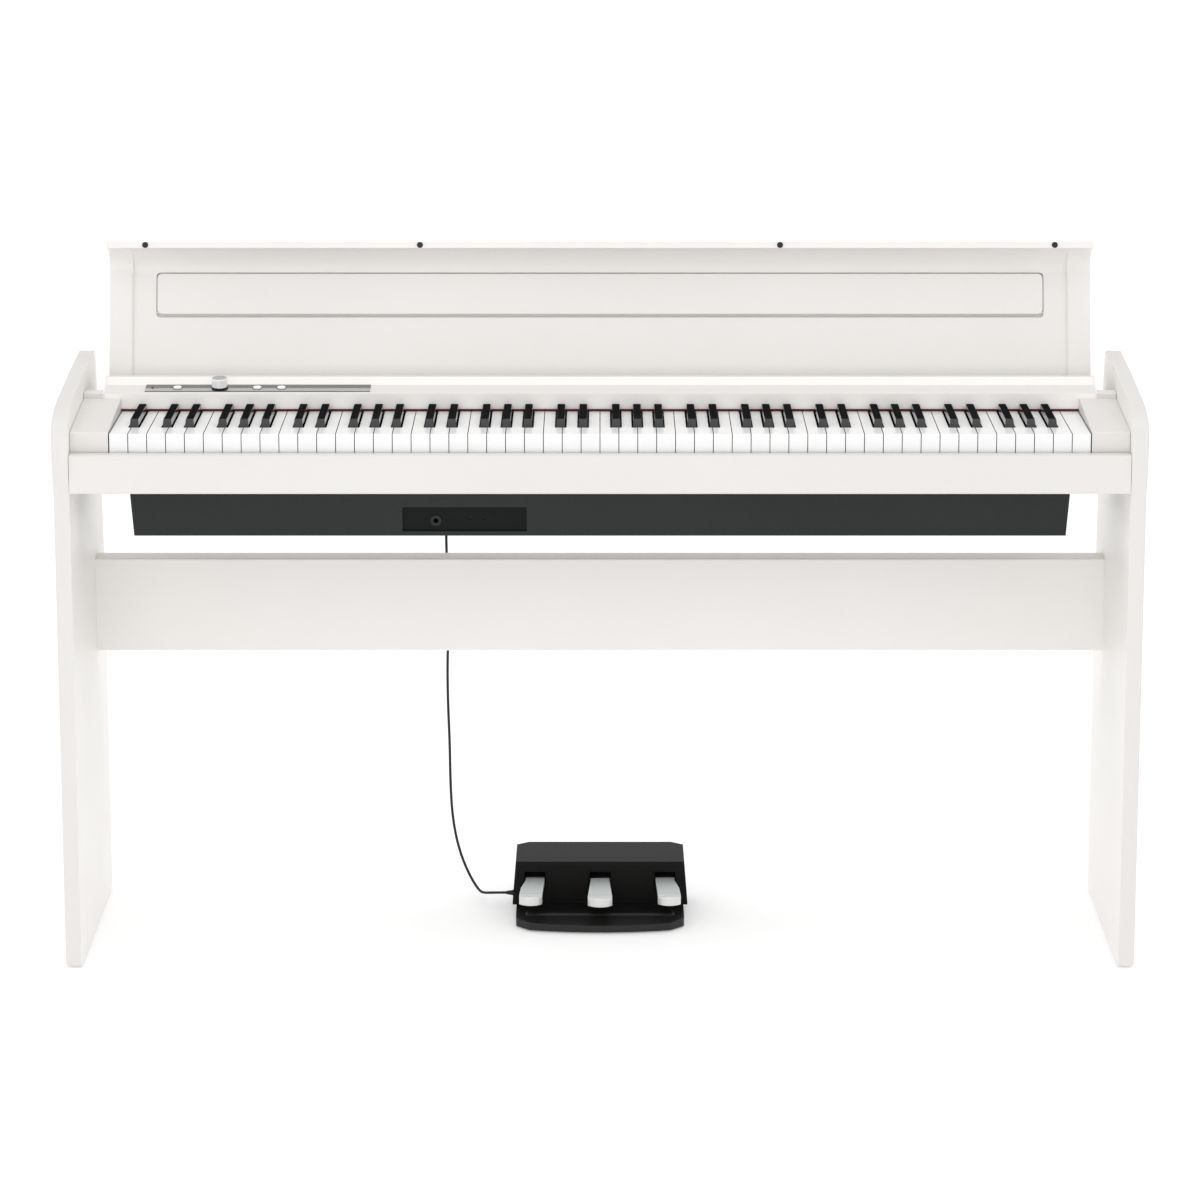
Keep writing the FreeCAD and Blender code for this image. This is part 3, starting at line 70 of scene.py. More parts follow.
CORD_DIAMETER = 3.5 * MM
CORD_ROUTE_MM = [
    (-125, 90, 20),
    (-143, 90, 20),
    (-157, 104, 15),
    (-164, 127, 13.5),
    (-177, 146, 29),
    (-190, 151, 62),
    (-198, 150, 105),
    (-200.5, 148, 155),
    (-201, 150, 210),
    (-203, 149, 265),
    (-203.5, 151, 320),
    (-201, 150, 377),
    (-202, 149, 433),
    (-204, 151, 489),
    (-203, 146, 544),
    (-203, 134, 584),
    (-203, 112, 601),
    (-203, 92, 601),
]


def make_cord():
    """One smooth curve; full bevel depth and a thin point radius keep its box true to the tube."""
    data = bpy.data.curves.new("pedal_cord_line", "CURVE")
    data.dimensions = "3D"
    data.bevel_depth = 1.0
    data.bevel_resolution = 5
    data.use_fill_caps = True
    data.resolution_u = 16
    spline = data.splines.new("NURBS")
    spline.points.add(len(CORD_ROUTE_MM) - 1)
    for point, place in zip(spline.points, CORD_ROUTE_MM):
        point.co = (place[0] * MM, place[1] * MM, place[2] * MM, 1)
        point.radius = CORD_DIAMETER / 2
    spline.order_u = 3
    spline.use_endpoint_u = True
    cord = bpy.data.objects.new("pedal_cord_line", data)
    bpy.context.scene.collection.objects.link(cord)
    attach(cord, "stand")
    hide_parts("pedal_cord")
    return cord


def spline_length(curve):
    """Length of a curve's own line, read from a copy with no bevel."""
    bare = curve.data.copy()
    bare.bevel_depth = 0
    holder = bpy.data.objects.new("measure", bare)
    mesh = bpy.data.meshes.new_from_object(holder)
    total = 0.0
    for edge in mesh.edges:
        first, last = edge.vertices
        total += (mesh.vertices[first].co - mesh.vertices[last].co).length
    bpy.data.objects.remove(holder)
    bpy.data.meshes.remove(mesh)
    bpy.data.curves.remove(bare)
    return total


cord = make_cord()
spline_length(cord)


# ---- materials ----

class Tree:
    """Short calls for building one material's nodes."""

    def __init__(self, name):
        self.material = bpy.data.materials.new(name)
        self.material.use_nodes = True
        self.tree = self.material.node_tree
        self.shader = self.tree.nodes["Principled BSDF"]
        self.coordinates = self.tree.nodes.new("ShaderNodeTexCoord")

    def add(self, kind, **values):
        node = self.tree.nodes.new(kind)
        for key, value in values.items():
            setattr(node, key, value)
        return node

    def link(self, source, target):
        self.tree.links.new(source, target)

    def place(self, stretch):
        """Object coordinates, scaled; a small factor draws the pattern out along that axis."""
        mapping = self.add("ShaderNodeMapping")
        mapping.inputs["Scale"].default_value = stretch
        self.link(self.coordinates.outputs["Object"], mapping.inputs["Vector"])
        return mapping.outputs["Vector"]

    def noise(self, scale, detail=3.0, stretch=(1, 1, 1), rough=0.5):
        node = self.add("ShaderNodeTexNoise")
        node.inputs["Scale"].default_value = scale
        node.inputs["Detail"].default_value = detail
        node.inputs["Roughness"].default_value = rough
        self.link(self.place(stretch), node.inputs["Vector"])
        return node.outputs["Fac"]

    def cells(self, scale):
        node = self.add("ShaderNodeTexVoronoi", feature="SMOOTH_F1")
        node.inputs["Scale"].default_value = scale
        self.link(self.place((1, 1, 1)), node.inputs["Vector"])
        return node.outputs["Distance"]

    def span(self, value, low, high, start=0.3, end=0.7):
        """Value carried from start..end to low..high, held at the ends; the defaults suit noise."""
        node = self.add("ShaderNodeMapRange")
        node.inputs["From Min"].default_value = start
        node.inputs["From Max"].default_value = end
        node.inputs["To Min"].default_value = low
        node.inputs["To Max"].default_value = high
        self.link(value, node.inputs["Value"])
        return node.outputs["Result"]

    def mix(self, value, first, second):
        """Blend two colours, each a tuple or another node's output."""
        node = self.add("ShaderNodeMix", data_type="RGBA")
        for socket, colour in ((node.inputs["A"], first), (node.inputs["B"], second)):
            if isinstance(colour, tuple):
                socket.default_value = (*colour, 1)
            else:
                self.link(colour, socket)
        self.link(value, node.inputs["Factor"])
        return node.outputs["Result"]

    def math(self, operation, first, second=0.0):
        node = self.add("ShaderNodeMath", operation=operation)
        self.link(first, node.inputs[0])
        if isinstance(second, float):
            node.inputs[1].default_value = second
        else:
            self.link(second, node.inputs[1])
        return node.outputs["Value"]

    def part_of(self, vector, axis):
        node = self.add("ShaderNodeSeparateXYZ")
        self.link(vector, node.inputs["Vector"])
        return node.outputs[axis]

    def upward(self):
        """1 on faces that look up, 0 on the sides."""
        geometry = self.add("ShaderNodeNewGeometry")
        return self.span(self.part_of(geometry.outputs["Normal"], "Z"), 0, 1, 0.75, 0.93)

    def sideways(self):
        """1 on faces that look left or right, 0 on the others."""
        geometry = self.add("ShaderNodeNewGeometry")
        turned = self.math("ABSOLUTE", self.part_of(geometry.outputs["Normal"], "X"))
        return self.span(turned, 0, 1, 0.85, 0.97)

    def forward(self):
        """1 on faces that look to the front, 0 on the others."""
        geometry = self.add("ShaderNodeNewGeometry")
        return self.span(self.part_of(geometry.outputs["Normal"], "Y"), 1, 0, -0.85, -0.6)

    def edges(self, radius):
        """About 1 along sharp edges, 0 on flat faces."""
        rounded = self.add("ShaderNodeBevel", samples=4)
        rounded.inputs["Radius"].default_value = radius
        geometry = self.add("ShaderNodeNewGeometry")
        node = self.add("ShaderNodeVectorMath", operation="DOT_PRODUCT")
        self.link(rounded.outputs["Normal"], node.inputs[0])
        self.link(geometry.outputs["Normal"], node.inputs[1])
        return self.span(node.outputs["Value"], 1, 0, 0.93, 0.995)

    def add_up(self, first, second, share):
        """first + share * second."""
        node = self.add("ShaderNodeMath", operation="MULTIPLY_ADD")
        node.inputs[1].default_value = share
        self.link(second, node.inputs[0])
        self.link(first, node.inputs[2])
        return node.outputs["Value"]

    def bump(self, height, strength, distance):
        node = self.add("ShaderNodeBump")
        node.inputs["Strength"].default_value = strength
        node.inputs["Distance"].default_value = distance
        self.link(height, node.inputs["Height"])
        self.link(node.outputs["Normal"], self.shader.inputs["Normal"])

    def colour(self, socket):
        self.link(socket, self.shader.inputs["Base Color"])

    def roughness(self, socket):
        self.link(socket, self.shader.inputs["Roughness"])


EDGE_WEAR = 0.8 * MM
GRAIN_STRENGTH = 0.35
SMUDGE_SCALE = 14.0
CLOUD_SCALE = 2.5
COAT_ROUGHNESS = 0.12
# black for the pedal levers inside their slots: painted shade
SLOT_SHADE_BLACK = (0.008, 0.008, 0.008)


def shade(colour, factor):
    """The colour made lighter or darker, held under 1."""
    return tuple(min(1.0, c * factor) for c in colour)


def moulded(name, colour, rough, grain_size, grain_depth, variation=0.02, coat=0.0):
    """Painted, filmed or moulded surface with a fine even grain and faint handling marks."""
    t = Tree(name)
    broad = t.noise(CLOUD_SCALE, 4.0)
    t.colour(t.mix(t.span(broad, 0, 1), shade(colour, 1 - variation), shade(colour, 1 + variation)))
    smudge = t.noise(SMUDGE_SCALE, 5.0, rough=0.6)
    t.roughness(t.span(smudge, rough - 0.05, rough + 0.06))
    grain = t.noise(1 / grain_size, 2.0)
    t.bump(grain, GRAIN_STRENGTH, grain_depth)
    if coat:
        t.shader.inputs["Coat Weight"].default_value = coat
        t.shader.inputs["Coat Roughness"].default_value = COAT_ROUGHNESS
    return t.material


def board_with_painted_face_light(name, face, edge, rough):
    """Film on board with edge banding; wide faces painted lighter and edges darker: painted light and shade
    by facing.
    """
    t = Tree(name)
    broad = t.noise(CLOUD_SCALE, 4.0)
    # painted light and shade: faces that look left or right take the lighter colour, the edges the darker
    # one
    base = t.mix(t.sideways(), edge, face)
    t.colour(t.mix(t.span(broad, 0, 0.05), base, shade(edge, 0.8)))
    t.roughness(t.span(t.noise(SMUDGE_SCALE, 5.0, rough=0.6), rough - 0.05, rough + 0.06))
    t.bump(t.noise(900.0, 2.0), GRAIN_STRENGTH, 0.00004)
    return t.material


def name_case_painted_light(name, front, top):
    """Lacquered case whose upright front is painted lighter and sloping top darker: painted light and shade
    by facing.
    """
    t = Tree(name)
    broad = t.noise(CLOUD_SCALE, 4.0)
    # painted light and shade: front-facing faces take the lighter colour, the sloping top the darker one
    base = t.mix(t.forward(), top, front)
    t.colour(t.mix(t.span(broad, 0, 0.05), base, shade(top, 0.8)))
    t.roughness(t.span(t.noise(SMUDGE_SCALE, 5.0, rough=0.6), 0.31, 0.42))
    t.bump(t.noise(1250.0, 2.0), GRAIN_STRENGTH, 0.00003)
    t.shader.inputs["Coat Weight"].default_value = 0.15
    t.shader.inputs["Coat Roughness"].default_value = COAT_ROUGHNESS
    return t.material


def pebbled(name, colour, rough, size, depth, shine):
    """Dark moulding with a pebble grain, rubbed a little paler along its edges."""
    t = Tree(name)
    cells = t.cells(1 / size)
    fine = t.noise(3 / size, 2.0)
    broad = t.noise(6.0, 4.0)
    base = t.mix(t.span(broad, 0, 1), shade(colour, 0.88), shade(colour, 1.14))
    rubbed = t.math("MULTIPLY", t.edges(EDGE_WEAR), t.span(t.noise(40.0, 4.0), 0, 1))
    t.colour(t.mix(rubbed, base, shade(colour, 1.8)))
    t.roughness(t.span(fine, rough - 0.06, rough + 0.08))
    t.shader.inputs["Specular IOR Level"].default_value = shine
    t.bump(t.add_up(cells, fine, 0.3), 0.5, depth)
    return t.material


def brushed(name, colour, rough, stretch, line, depth):
    """Metal with straight brushing; stretch is small along the strokes."""
    t = Tree(name)
    strokes = t.noise(line, 4.0, stretch, 0.65)
    cloud = t.noise(9.0, 4.0)
    t.colour(t.mix(t.span(strokes, 0, 1), shade(colour, 0.9), shade(colour, 1.08)))
    t.roughness(t.add_up(t.span(strokes, rough - 0.07, rough + 0.09), t.span(cloud, -0.5, 0.5), 0.12))
    t.shader.inputs["Metallic"].default_value = 1.0
    t.bump(strokes, GRAIN_STRENGTH, depth)
    return t.material


# pedals turn black from this share of their length back: painted shade inside the slots
PEDAL_SLOT_SHADE_FROM = 0.495


def two_faced_metal(name, top, side, top_rough, side_rough, stretch, line, metallic, slot_shade_from=None):
    """Metal part with a satin top and other sides; black from a share of its length back: painted shade in
    its slot.
    """
    t = Tree(name)
    strokes = t.noise(line, 4.0, stretch, 0.65)
    up = t.upward()
    base = t.mix(up, side, top)
    t.shader.inputs["Metallic"].default_value = metallic
    # painted shade: the share inside the pedal slot turns black and loses its metal
    if slot_shade_from is not None:
        along = t.part_of(t.coordinates.outputs["Generated"], "Y")
        painted = t.span(along, 0, 1, slot_shade_from, slot_shade_from + 0.01)
        base = t.mix(painted, base, SLOT_SHADE_BLACK)
        t.link(t.span(painted, metallic, 0, 0, 1), t.shader.inputs["Metallic"])
    t.colour(t.mix(t.span(strokes, 0, 0.08), base, shade(top, 0.5)))
    wander = t.span(strokes, -0.05, 0.07)
    t.roughness(t.math("ADD", t.span(up, side_rough, top_rough, 0, 1), wander))
    t.bump(strokes, 0.3, 0.00002)
    return t.material


# share across the strip where the painted dark reflection begins
STRIP_REFLECTION_CHANGE = (0.40, 0.52)
STRIP_BORDER = (0.455, 0.475)


def strip_with_painted_reflection(name, dark_reflection, lower, border):
    """Brushed strip with a fine border line; its higher part painted dark, a painted reflection of dark
    surroundings.
    """
    t = Tree(name)
    strokes = t.noise(2600.0, 4.0, (0.02, 1, 1), 0.65)
    up_the_strip = t.part_of(t.coordinates.outputs["Generated"], "Y")
    # painted reflection: the strip turns dark from this share of its width up
    reflection_share = t.span(up_the_strip, 0, 1, *STRIP_REFLECTION_CHANGE)
    base = t.mix(reflection_share, lower, dark_reflection)
    from_middle = t.math("ABSOLUTE", t.math("SUBTRACT", up_the_strip, 0.5))
    rim = t.span(from_middle, 0, 1, *STRIP_BORDER)
    t.colour(t.mix(t.span(strokes, 0, 0.2), t.mix(rim, base, border), shade(dark_reflection, 0.6)))
    t.roughness(t.span(strokes, 0.28, 0.42))
    t.shader.inputs["Metallic"].default_value = 1.0
    t.bump(strokes, GRAIN_STRENGTH, 0.00002)
    return t.material


def felt(name, colour):
    """Felt: short fibres over soft clumps, with some sheen."""
    t = Tree(name)
    fibres = t.noise(2600.0, 6.0, (1, 1, 1), 0.75)
    clumps = t.noise(260.0, 4.0)
    t.colour(t.mix(t.span(fibres, 0, 1), shade(colour, 0.6), shade(colour, 1.35)))
    t.shader.inputs["Roughness"].default_value = 0.95
    t.shader.inputs["Sheen Weight"].default_value = 0.5
    t.shader.inputs["Sheen Roughness"].default_value = 0.4
    t.bump(t.add_up(fibres, clumps, 0.7), 0.8, 0.0006)
    return t.material


def key_plastic(name, colour, gap_shade, rough, depth):
    """White key moulding: polished, with faint playing wear; sides painted dark, painted shade in the gaps
    between keys.
    """
    t = Tree(name)
    broad = t.noise(35.0, 4.0)
    base = t.mix(t.span(broad, 0, 1), shade(colour, 0.985), shade(colour, 1.01))
    # painted shade: faces that look left or right, into the gaps, turn near black
    t.colour(t.mix(t.sideways(), base, gap_shade))
    wear = t.noise(60.0, 6.0, (1, 0.35, 1), 0.6)
    t.roughness(t.span(wear, rough - 0.04, rough + 0.07))
    fine = t.noise(1500.0, 2.0)
    t.bump(fine, 0.25, depth)
    return t.material


def black_key_plastic(name, colour, front, top_ior):
    """Black key: matt top, greyer front slope that is painted light, lacquered sides that mirror the white
    keys.
    """
    t = Tree(name)
    broad = t.noise(35.0, 4.0)
    base = t.mix(t.span(broad, 0, 1), shade(colour, 0.85), shade(colour, 1.15))
    # painted light: faces that look to the front are lifted to grey
    t.colour(t.mix(t.forward(), base, front))
    wear = t.noise(60.0, 6.0, (1, 0.35, 1), 0.6)
    t.roughness(t.span(wear, 0.55, 0.68))
    t.shader.inputs["IOR"].default_value = top_ior
    t.link(t.sideways(), t.shader.inputs["Coat Weight"])
    t.shader.inputs["Coat IOR"].default_value = 2.2
    t.shader.inputs["Coat Roughness"].default_value = 0.08
    t.bump(t.noise(1500.0, 2.0), 0.25, 0.00003)
    return t.material


def board(name):
    """Circuit board: solder mask with copper lines showing through."""
    t = Tree(name)
    lines = t.add("ShaderNodeTexBrick")
    lines.inputs["Scale"].default_value = 90.0
    lines.inputs["Mortar Size"].default_value = 0.06
    lines.inputs["Color1"].default_value = (0.015, 0.11, 0.05, 1)
    lines.inputs["Color2"].default_value = (0.018, 0.14, 0.06, 1)
    lines.inputs["Mortar"].default_value = (0.05, 0.26, 0.12, 1)
    t.link(t.place((1, 1, 1)), lines.inputs["Vector"])
    t.colour(lines.outputs["Color"])
    t.roughness(t.span(t.noise(40.0), 0.3, 0.45))
    t.bump(lines.outputs["Fac"], 0.3, 0.0001)
    return t.material


WARM_WHITE = (0.775, 0.754, 0.733)
CHARCOAL = (0.0095, 0.0125, 0.0115)

# the white parts are one white made lighter or darker part by part: lit and shaded copies, painted light and
# shade
film = moulded("white_film", shade(WARM_WHITE, 0.93), rough=0.42, grain_size=0.0011, grain_depth=0.00004)
# side panels: wide faces painted lighter and edges darker, painted light and shade
panel_film_painted_light = board_with_painted_face_light(
    "panel_film_painted_light", face=shade(WARM_WHITE, 1.22), edge=shade(WARM_WHITE, 0.93), rough=0.42
)
back_film = moulded("back_film", shade(WARM_WHITE, 1.14), rough=0.42, grain_size=0.0011, grain_depth=0.00004)
# top panel: front painted lighter, top darker, painted light and shade
name_lacquer_painted_light = name_case_painted_light("name_case_painted_light", front=shade(WARM_WHITE, 1.25), top=shade(WARM_WHITE, 0.96))
lacquer = moulded(
    "white_case", shade(WARM_WHITE, 1.06), rough=0.36, grain_size=0.0008, grain_depth=0.00003, coat=0.15
)
# white keys: the near-black side colour is painted shade in the gaps
ivory = key_plastic(
    "key_white", (0.87, 0.872, 0.872), gap_shade=(0.02, 0.02, 0.02), rough=0.2, depth=0.00001
)
# black keys: the grey front colour is painted light
ebony = black_key_plastic(
    "key_black", (0.005, 0.005, 0.0055), front=(0.075, 0.075, 0.077), top_ior=1.04
)
red_felt = felt("red_felt", (0.10, 0.008, 0.010))
charcoal = pebbled("charcoal", CHARCOAL, rough=0.5, size=0.0016, depth=0.0001, shine=0.3)
jack_black = pebbled(
    "jack_black", shade(CHARCOAL, 0.4), rough=0.55, size=0.0012, depth=0.0001, shine=0.14
)
pedal_shell = pebbled(
    "pedal_shell", (0.0048, 0.0052, 0.0045), rough=0.42, size=0.0014, depth=0.0001, shine=0.11
)
pedal_floor = pebbled(
    "pedal_floor", (0.0085, 0.0088, 0.0082), rough=0.36, size=0.0014, depth=0.0001, shine=0.35
)
black_plastic = pebbled(
    "black_plastic", (0.006, 0.006, 0.0065), rough=0.4, size=0.0008, depth=0.00005, shine=0.3
)
rubber = moulded(
    "rubber", (0.012, 0.012, 0.012), rough=0.72, grain_size=0.0006, grain_depth=0.0001, variation=0.2
)
# the dark colour of the strip's higher part is a painted reflection
strip_metal_painted_reflection = strip_with_painted_reflection(
    "strip_metal_painted_reflection", dark_reflection=(0.21, 0.215, 0.215), lower=(0.62, 0.625, 0.63), border=(0.10, 0.10, 0.10)
)
pedal_metal = two_faced_metal(
    "pedal_metal",
    top=(0.80, 0.84, 0.825),
    side=(0.72, 0.72, 0.71),
    top_rough=0.5,
    side_rough=0.2,
    stretch=(1, 0.04, 1),
    line=1500.0,
    metallic=0.35,
    slot_shade_from=PEDAL_SLOT_SHADE_FROM,
)
# knob: the white sides with little metal are a painted reflection of bright surroundings; the top is darker
knob_metal_painted_reflection = two_faced_metal(
    "knob_metal_painted_reflection",
    top=(0.42, 0.42, 0.42),
    side=(1.0, 1.0, 1.0),
    top_rough=0.35,
    side_rough=0.3,
    stretch=(1, 1, 0.03),
    line=1800.0,
    metallic=0.2,
)
zinc = brushed("zinc", (0.55, 0.55, 0.56), rough=0.35, stretch=(1, 1, 0.2), line=300.0, depth=0.00003)
button_plastic = moulded(
    "button_plastic",
    (0.88, 0.885, 0.89),
    rough=0.28,
    grain_size=0.0006,
    grain_depth=0.00003,
    variation=0.03,
    coat=0.3,
)
frame_paint = moulded(
    "frame_paint", (0.06, 0.06, 0.062), rough=0.5, grain_size=0.002, grain_depth=0.0001, variation=0.1
)
mask_green = board("mask_green")
paper = moulded(
    "paper_cone", (0.025, 0.025, 0.024), rough=0.8, grain_size=0.001, grain_depth=0.0002, variation=0.15
)

FINISHES = {
    film: ["key_slip", "cheek_blocks", "key_bed"],
    panel_film_painted_light: ["side_panel_left", "side_panel_right"],
    back_film: ["modesty_panel"],
    name_lacquer_painted_light: ["top_panel"],
    lacquer: ["end_caps", "rear_housing", "rear_panel", "lid_panel", "lid_arms", "music_rest"],
    ivory: ["keys_" + n for n in WHITE_NOTES],
    ebony: ["keys_" + n for n in BLACK_NOTES],
    red_felt: ["nameboard_felt", "key_rest_felt"],
    charcoal: ["speaker_box"],
    jack_black: ["jack_panel"],
    pedal_shell: ["pedal_cover"],
    pedal_floor: ["pedal_base"],
    black_plastic: ["phone_jack", "pedal_socket", "power_inlet", "pedal_plug", "speaker_grilles"],
    rubber: ["floor_pads", "lid_bumpers", "lid_stops", "strain_relief"],
    strip_metal_painted_reflection: ["control_strip"],
    pedal_metal: ["pedal_left", "pedal_middle", "pedal_right"],
    knob_metal_painted_reflection: ["volume_knob"],
    zinc: ["stand_brackets", "stand_screws", "pivot_rod", "pedal_axle", "pedal_springs", "volume_shaft"],
    button_plastic: ["power_button", "sound_button", "function_button"],
    frame_paint: ["key_frame"],
    mask_green: ["circuit_boards", "contact_board"],
    paper: ["speakers"],
}


def paint(obj, material):
    """Give every material slot of an object the same material."""
    if not obj.data.materials:
        obj.data.materials.append(material)
    for index in range(len(obj.data.materials)):
        obj.data.materials[index] = material


for material, names in FINISHES.items():
    for name in names:
        paint(NODES[name], material)
paint(cord, rubber)


PANEL_EDGE = 0.5 * MM
WHITE_KEY_EDGE = 0.45 * MM
BLACK_KEY_EDGE = 0.5 * MM
SHARP_ANGLE = math.radians(35)


def round_edges(name, width, segments=3):
    """Small real radius on a CAD node's sharp edges."""
    bevel = NODES[name].modifiers.new("edge_radius", "BEVEL")
    bevel.width = width
    bevel.segments = segments
    bevel.limit_method = "ANGLE"
    bevel.angle_limit = SHARP_ANGLE


for name in ("modesty_panel", "key_slip", "speaker_box", "cheek_blocks", "jack_panel"):
    round_edges(name, PANEL_EDGE, segments=2)
for note in WHITE_NOTES:
    round_edges("keys_" + note, WHITE_KEY_EDGE)
for note in BLACK_NOTES:
    round_edges("keys_" + note, BLACK_KEY_EDGE)


# ---- small fitted pieces ----

ROUND_STEPS = 48


def add_piece(name, shape, material, body):
    """Turn a bmesh into a shown piece that rides on a body."""
    bmesh.ops.recalc_face_normals(shape, faces=shape.faces)
    mesh = bpy.data.meshes.new(name)
    shape.to_mesh(mesh)
    shape.free()
    mesh.polygons.foreach_set("use_smooth", [True] * len(mesh.polygons))
    piece = bpy.data.objects.new(name, mesh)
    bpy.context.scene.collection.objects.link(piece)
    paint(piece, material)
    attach(piece, body)
    return piece


def lathe(profile, place, axis, ring_shaped=False):
    """Bmesh turned from (radius, height) points in millimetres about an axis through place."""
    shape = bmesh.new()
    turn = Vector(axis).to_track_quat("Z", "Y").to_matrix().to_4x4()
    frame_here = Matrix.Translation([v * MM for v in place]) @ turn
    rings = []
    for radius, height in profile:
        ring = []
        for step in range(ROUND_STEPS):
            angle = 2 * math.pi * step / ROUND_STEPS
            spot = Vector((radius * math.cos(angle), radius * math.sin(angle), height)) * MM
            ring.append(shape.verts.new(frame_here @ spot))
        rings.append(ring)
    pairs = list(zip(rings, rings[1:]))
    if ring_shaped:
        pairs.append((rings[-1], rings[0]))
    for low, high in pairs:
        for step in range(ROUND_STEPS):
            following = (step + 1) % ROUND_STEPS
            shape.faces.new((low[step], low[following], high[following], high[step]))
    if not ring_shaped:
        shape.faces.new(rings[0])
        shape.faces.new(rings[-1])
    return shape


# the control face slopes up to the back; s runs up it from its front edge
CONTROL_START = (-1.5, 717.0)
CONTROL_END = (26.0, 721.0)
CONTROL_SLOPE = math.atan2(CONTROL_END[1] - CONTROL_START[1], CONTROL_END[0] - CONTROL_START[0])
CONTROL_S = 13.5
CONTROL_NORMAL = (0, -math.sin(CONTROL_SLOPE), math.cos(CONTROL_SLOPE))
KNOB_X = -487.0
KNOB_R = 10.0
KNOB_FOOT = 1.2
KNOB_H = 14.5
BUTTON_X = (-541.0, -439.0, -408.0)
BUTTON_R = 5.4
RING_GAP = 0.1
RING_W = 1.0
RING_FLARE = 0.1
RING_LOW = 0.6
RING_TOP = 1.0
LIGHT_X = -573.0
LIGHT_FOOT = 0.75


def on_controls(x, lift):
    """Point in millimetres over the control line of the strip."""
    y = CONTROL_START[0] + CONTROL_S * math.cos(CONTROL_SLOPE) - lift * math.sin(CONTROL_SLOPE)
    z = CONTROL_START[1] + CONTROL_S * math.sin(CONTROL_SLOPE) + lift * math.cos(CONTROL_SLOPE)
    return (x, y, z)


def knob_details():
    """Dark ring at the knob's foot and a dished cap on its top."""
    inside = KNOB_R - 1
    foot = [(inside, 0), (KNOB_R + 0.5, 0.1), (KNOB_R + 0.7, 1.2), (KNOB_R + 0.2, 2.3), (inside, 2.4)]
    ring = lathe(foot, on_controls(KNOB_X, KNOB_FOOT), CONTROL_NORMAL)
    add_piece("knob_ring", ring, black_plastic, "volume_knob")
    rim = KNOB_R - 1.4
    dish = [(rim, -0.5), (rim, 0.1), (KNOB_R - 1.9, 0.25), (KNOB_R - 2.5, 0.08), (1.0, 0.04)]
    cap = lathe(dish, on_controls(KNOB_X, KNOB_H), CONTROL_NORMAL)
    add_piece("knob_cap", cap, knob_metal_painted_reflection, "volume_knob")


def button_shadow_rings():
    """Dark ring in the strip round each button: a painted shadow for the gap round each cap."""
    inner = BUTTON_R + RING_GAP
    outer = BUTTON_R + RING_W
    edge = [(inner, RING_LOW), (inner, RING_TOP), (outer, RING_TOP), (outer + RING_FLARE, RING_LOW)]
    for number, x in enumerate(BUTTON_X):
        ring = lathe(edge, on_controls(x, 0), CONTROL_NORMAL, ring_shaped=True)
        add_piece("button_shadow_ring_%d" % number, ring, black_plastic, "stand")


def power_light():
    """Small unlit lens at the left end of the strip."""
    lens = [(1.6, 0), (1.6, 0.5), (1.2, 0.8), (0.5, 0.95)]
    shape = lathe(lens, on_controls(LIGHT_X, LIGHT_FOOT), CONTROL_NORMAL)
    add_piece("power_light", shape, black_plastic, "stand")


REAR_FACE_Y = 126.0
REAR_SCREW_Z = (636.0, 694.0)
REAR_SCREW_X = 600.0
REAR_SCREW_COUNT = 7


def rear_screws():
    """Pan head screws along the rear panel."""
    head = [(3.4, -0.2), (3.4, 0.5), (2.9, 1.2), (1.8, 1.6), (0.9, 1.65), (0.7, 0.7)]
    for row, z in enumerate(REAR_SCREW_Z):
        for step in range(REAR_SCREW_COUNT):
            x = REAR_SCREW_X * (2 * step / (REAR_SCREW_COUNT - 1) - 1)
            shape = lathe(head, (x, REAR_FACE_Y, z), (0, 1, 0))
            add_piece("rear_screw_%d_%d" % (row, step), shape, zinc, "stand")


COVER_FOOT = (57.0, 14.0)
COVER_BROW = (55.0, 73.0)
PEDAL_X = (-86.0, 0.0, 86.0)
SLOT_Z = (35.0, 59.5)
SLOT_W = 27.5
BEZEL_GAP = 0.4
BEZEL_W = 2.6
BEZEL_PROUD = 0.9
BEZEL_CORNER = 3.0


def cover_front(z):
    """Y of the pedal cover's front face at a height."""
    share = (z - COVER_FOOT[1]) / (COVER_BROW[1] - COVER_FOOT[1])
    return COVER_FOOT[0] + share * (COVER_BROW[0] - COVER_FOOT[0])


def slot_loop(x, grow, corner):
    """Round-cornered outline about a pedal slot, as (x, z) points."""
    half = SLOT_W / 2 + grow
    low, high = SLOT_Z[0] - grow, SLOT_Z[1] + grow
    centres = [(x + half, high, 0), (x - half, high, 90), (x - half, low, 180), (x + half, low, 270)]
    points = []
    for cx, cz, first in centres:
        inset_x = cx - math.copysign(corner, cx - x)
        inset_z = cz - math.copysign(corner, cz - (low + high) / 2)
        for turn in range(0, 91, 15):
            angle = math.radians(first + turn)
            points.append((inset_x + corner * math.cos(angle), inset_z + corner * math.sin(angle)))
    return points


def slot_bezels():
    """Raised lip round each pedal slot."""
    for number, x in enumerate(PEDAL_X):
        shape = bmesh.new()
        bands = []
        for grow, corner, proud in (
            (BEZEL_GAP, 1.0, -0.5),
            (BEZEL_GAP, 1.0, 0.6 * BEZEL_PROUD),
            (BEZEL_GAP + 0.5, 1.4, BEZEL_PROUD),
            (BEZEL_W - 0.6, BEZEL_CORNER - 0.4, BEZEL_PROUD),
            (BEZEL_W, BEZEL_CORNER, -0.2),
        ):
            outline = slot_loop(x, grow, corner)
            spots = [(px * MM, (cover_front(pz) - proud) * MM, pz * MM) for px, pz in outline]
            bands.append([shape.verts.new(spot) for spot in spots])
        for inner, outer in zip(bands, bands[1:]):
            for step in range(len(inner)):
                following = (step + 1) % len(inner)
                shape.faces.new((inner[step], inner[following], outer[following], outer[step]))
        add_piece("slot_bezel_%d" % number, shape, pedal_shell, "stand")


knob_details()
button_shadow_rings()
power_light()
rear_screws()
slot_bezels()


# ---- floor and light: the glowing floor stands in for a lit white sweep ----

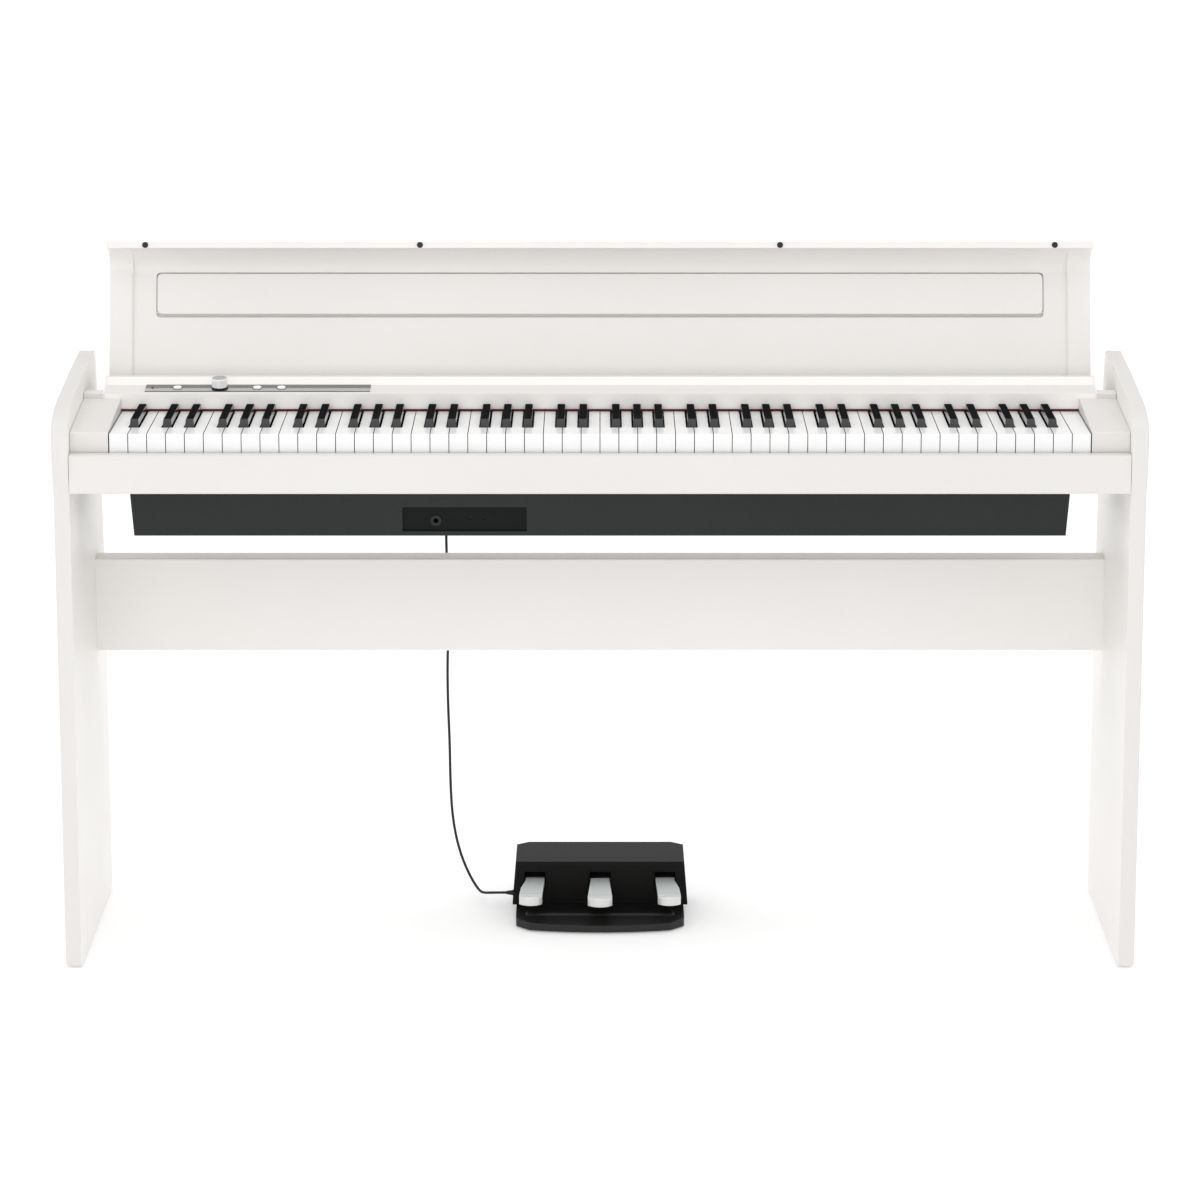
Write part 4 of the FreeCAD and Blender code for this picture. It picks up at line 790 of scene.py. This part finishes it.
SKY = 0.88
FLOOR_GLOW = 0.25
FLOOR_HALF = 14.0
OVERHEAD_POWER = 32.0
OVERHEAD_PLACE = (0, -0.6, 3.6)
OVERHEAD_AIM = (0, 0, 0.5)
OVERHEAD_SIZE = (4.5, 3.0)
FRONT_POWER = 22.0
FRONT_PLACE = (-0.6, -4.4, 0.8)
FRONT_AIM = (0, 0, 0.45)
FRONT_SIZE = (3.2, 1.2)


def make_floor():
    """Plain pale floor that glows a little; it is stage, not part of the model."""
    mesh = bpy.data.meshes.new("floor")
    half = FLOOR_HALF
    corners = [(-half, -half, 0), (half, -half, 0), (half, half, 0), (-half, half, 0)]
    mesh.from_pydata(corners, [], [(0, 1, 2, 3)])
    floor = bpy.data.objects.new("floor", mesh)
    bpy.context.scene.collection.objects.link(floor)
    sweep = moulded(
        "floor_paper", (0.92, 0.92, 0.92), rough=0.8, grain_size=0.004, grain_depth=0.0002, variation=0.004
    )
    glow = sweep.node_tree.nodes["Principled BSDF"].inputs
    glow["Emission Color"].default_value = (1, 1, 1, 1)
    glow["Emission Strength"].default_value = FLOOR_GLOW
    paint(floor, sweep)


def area_light(name, place, aim, size, power):
    """Rectangular lamp at a place, facing a point; metres and watts."""
    data = bpy.data.lights.new(name, "AREA")
    data.shape = "RECTANGLE"
    data.size = size[0]
    data.size_y = size[1]
    data.energy = power
    lamp = bpy.data.objects.new(name, data)
    lamp.location = place
    lamp.rotation_euler = (Vector(aim) - Vector(place)).to_track_quat("-Z", "Y").to_euler()
    bpy.context.scene.collection.objects.link(lamp)


def make_world():
    world = bpy.data.worlds.new("studio")
    world.use_nodes = True
    back = world.node_tree.nodes["Background"]
    back.inputs["Color"].default_value = (1, 1, 1, 1)
    back.inputs["Strength"].default_value = SKY
    bpy.context.scene.world = world


make_floor()
make_world()
area_light("overhead", OVERHEAD_PLACE, OVERHEAD_AIM, OVERHEAD_SIZE, OVERHEAD_POWER)
area_light("front", FRONT_PLACE, FRONT_AIM, FRONT_SIZE, FRONT_POWER)
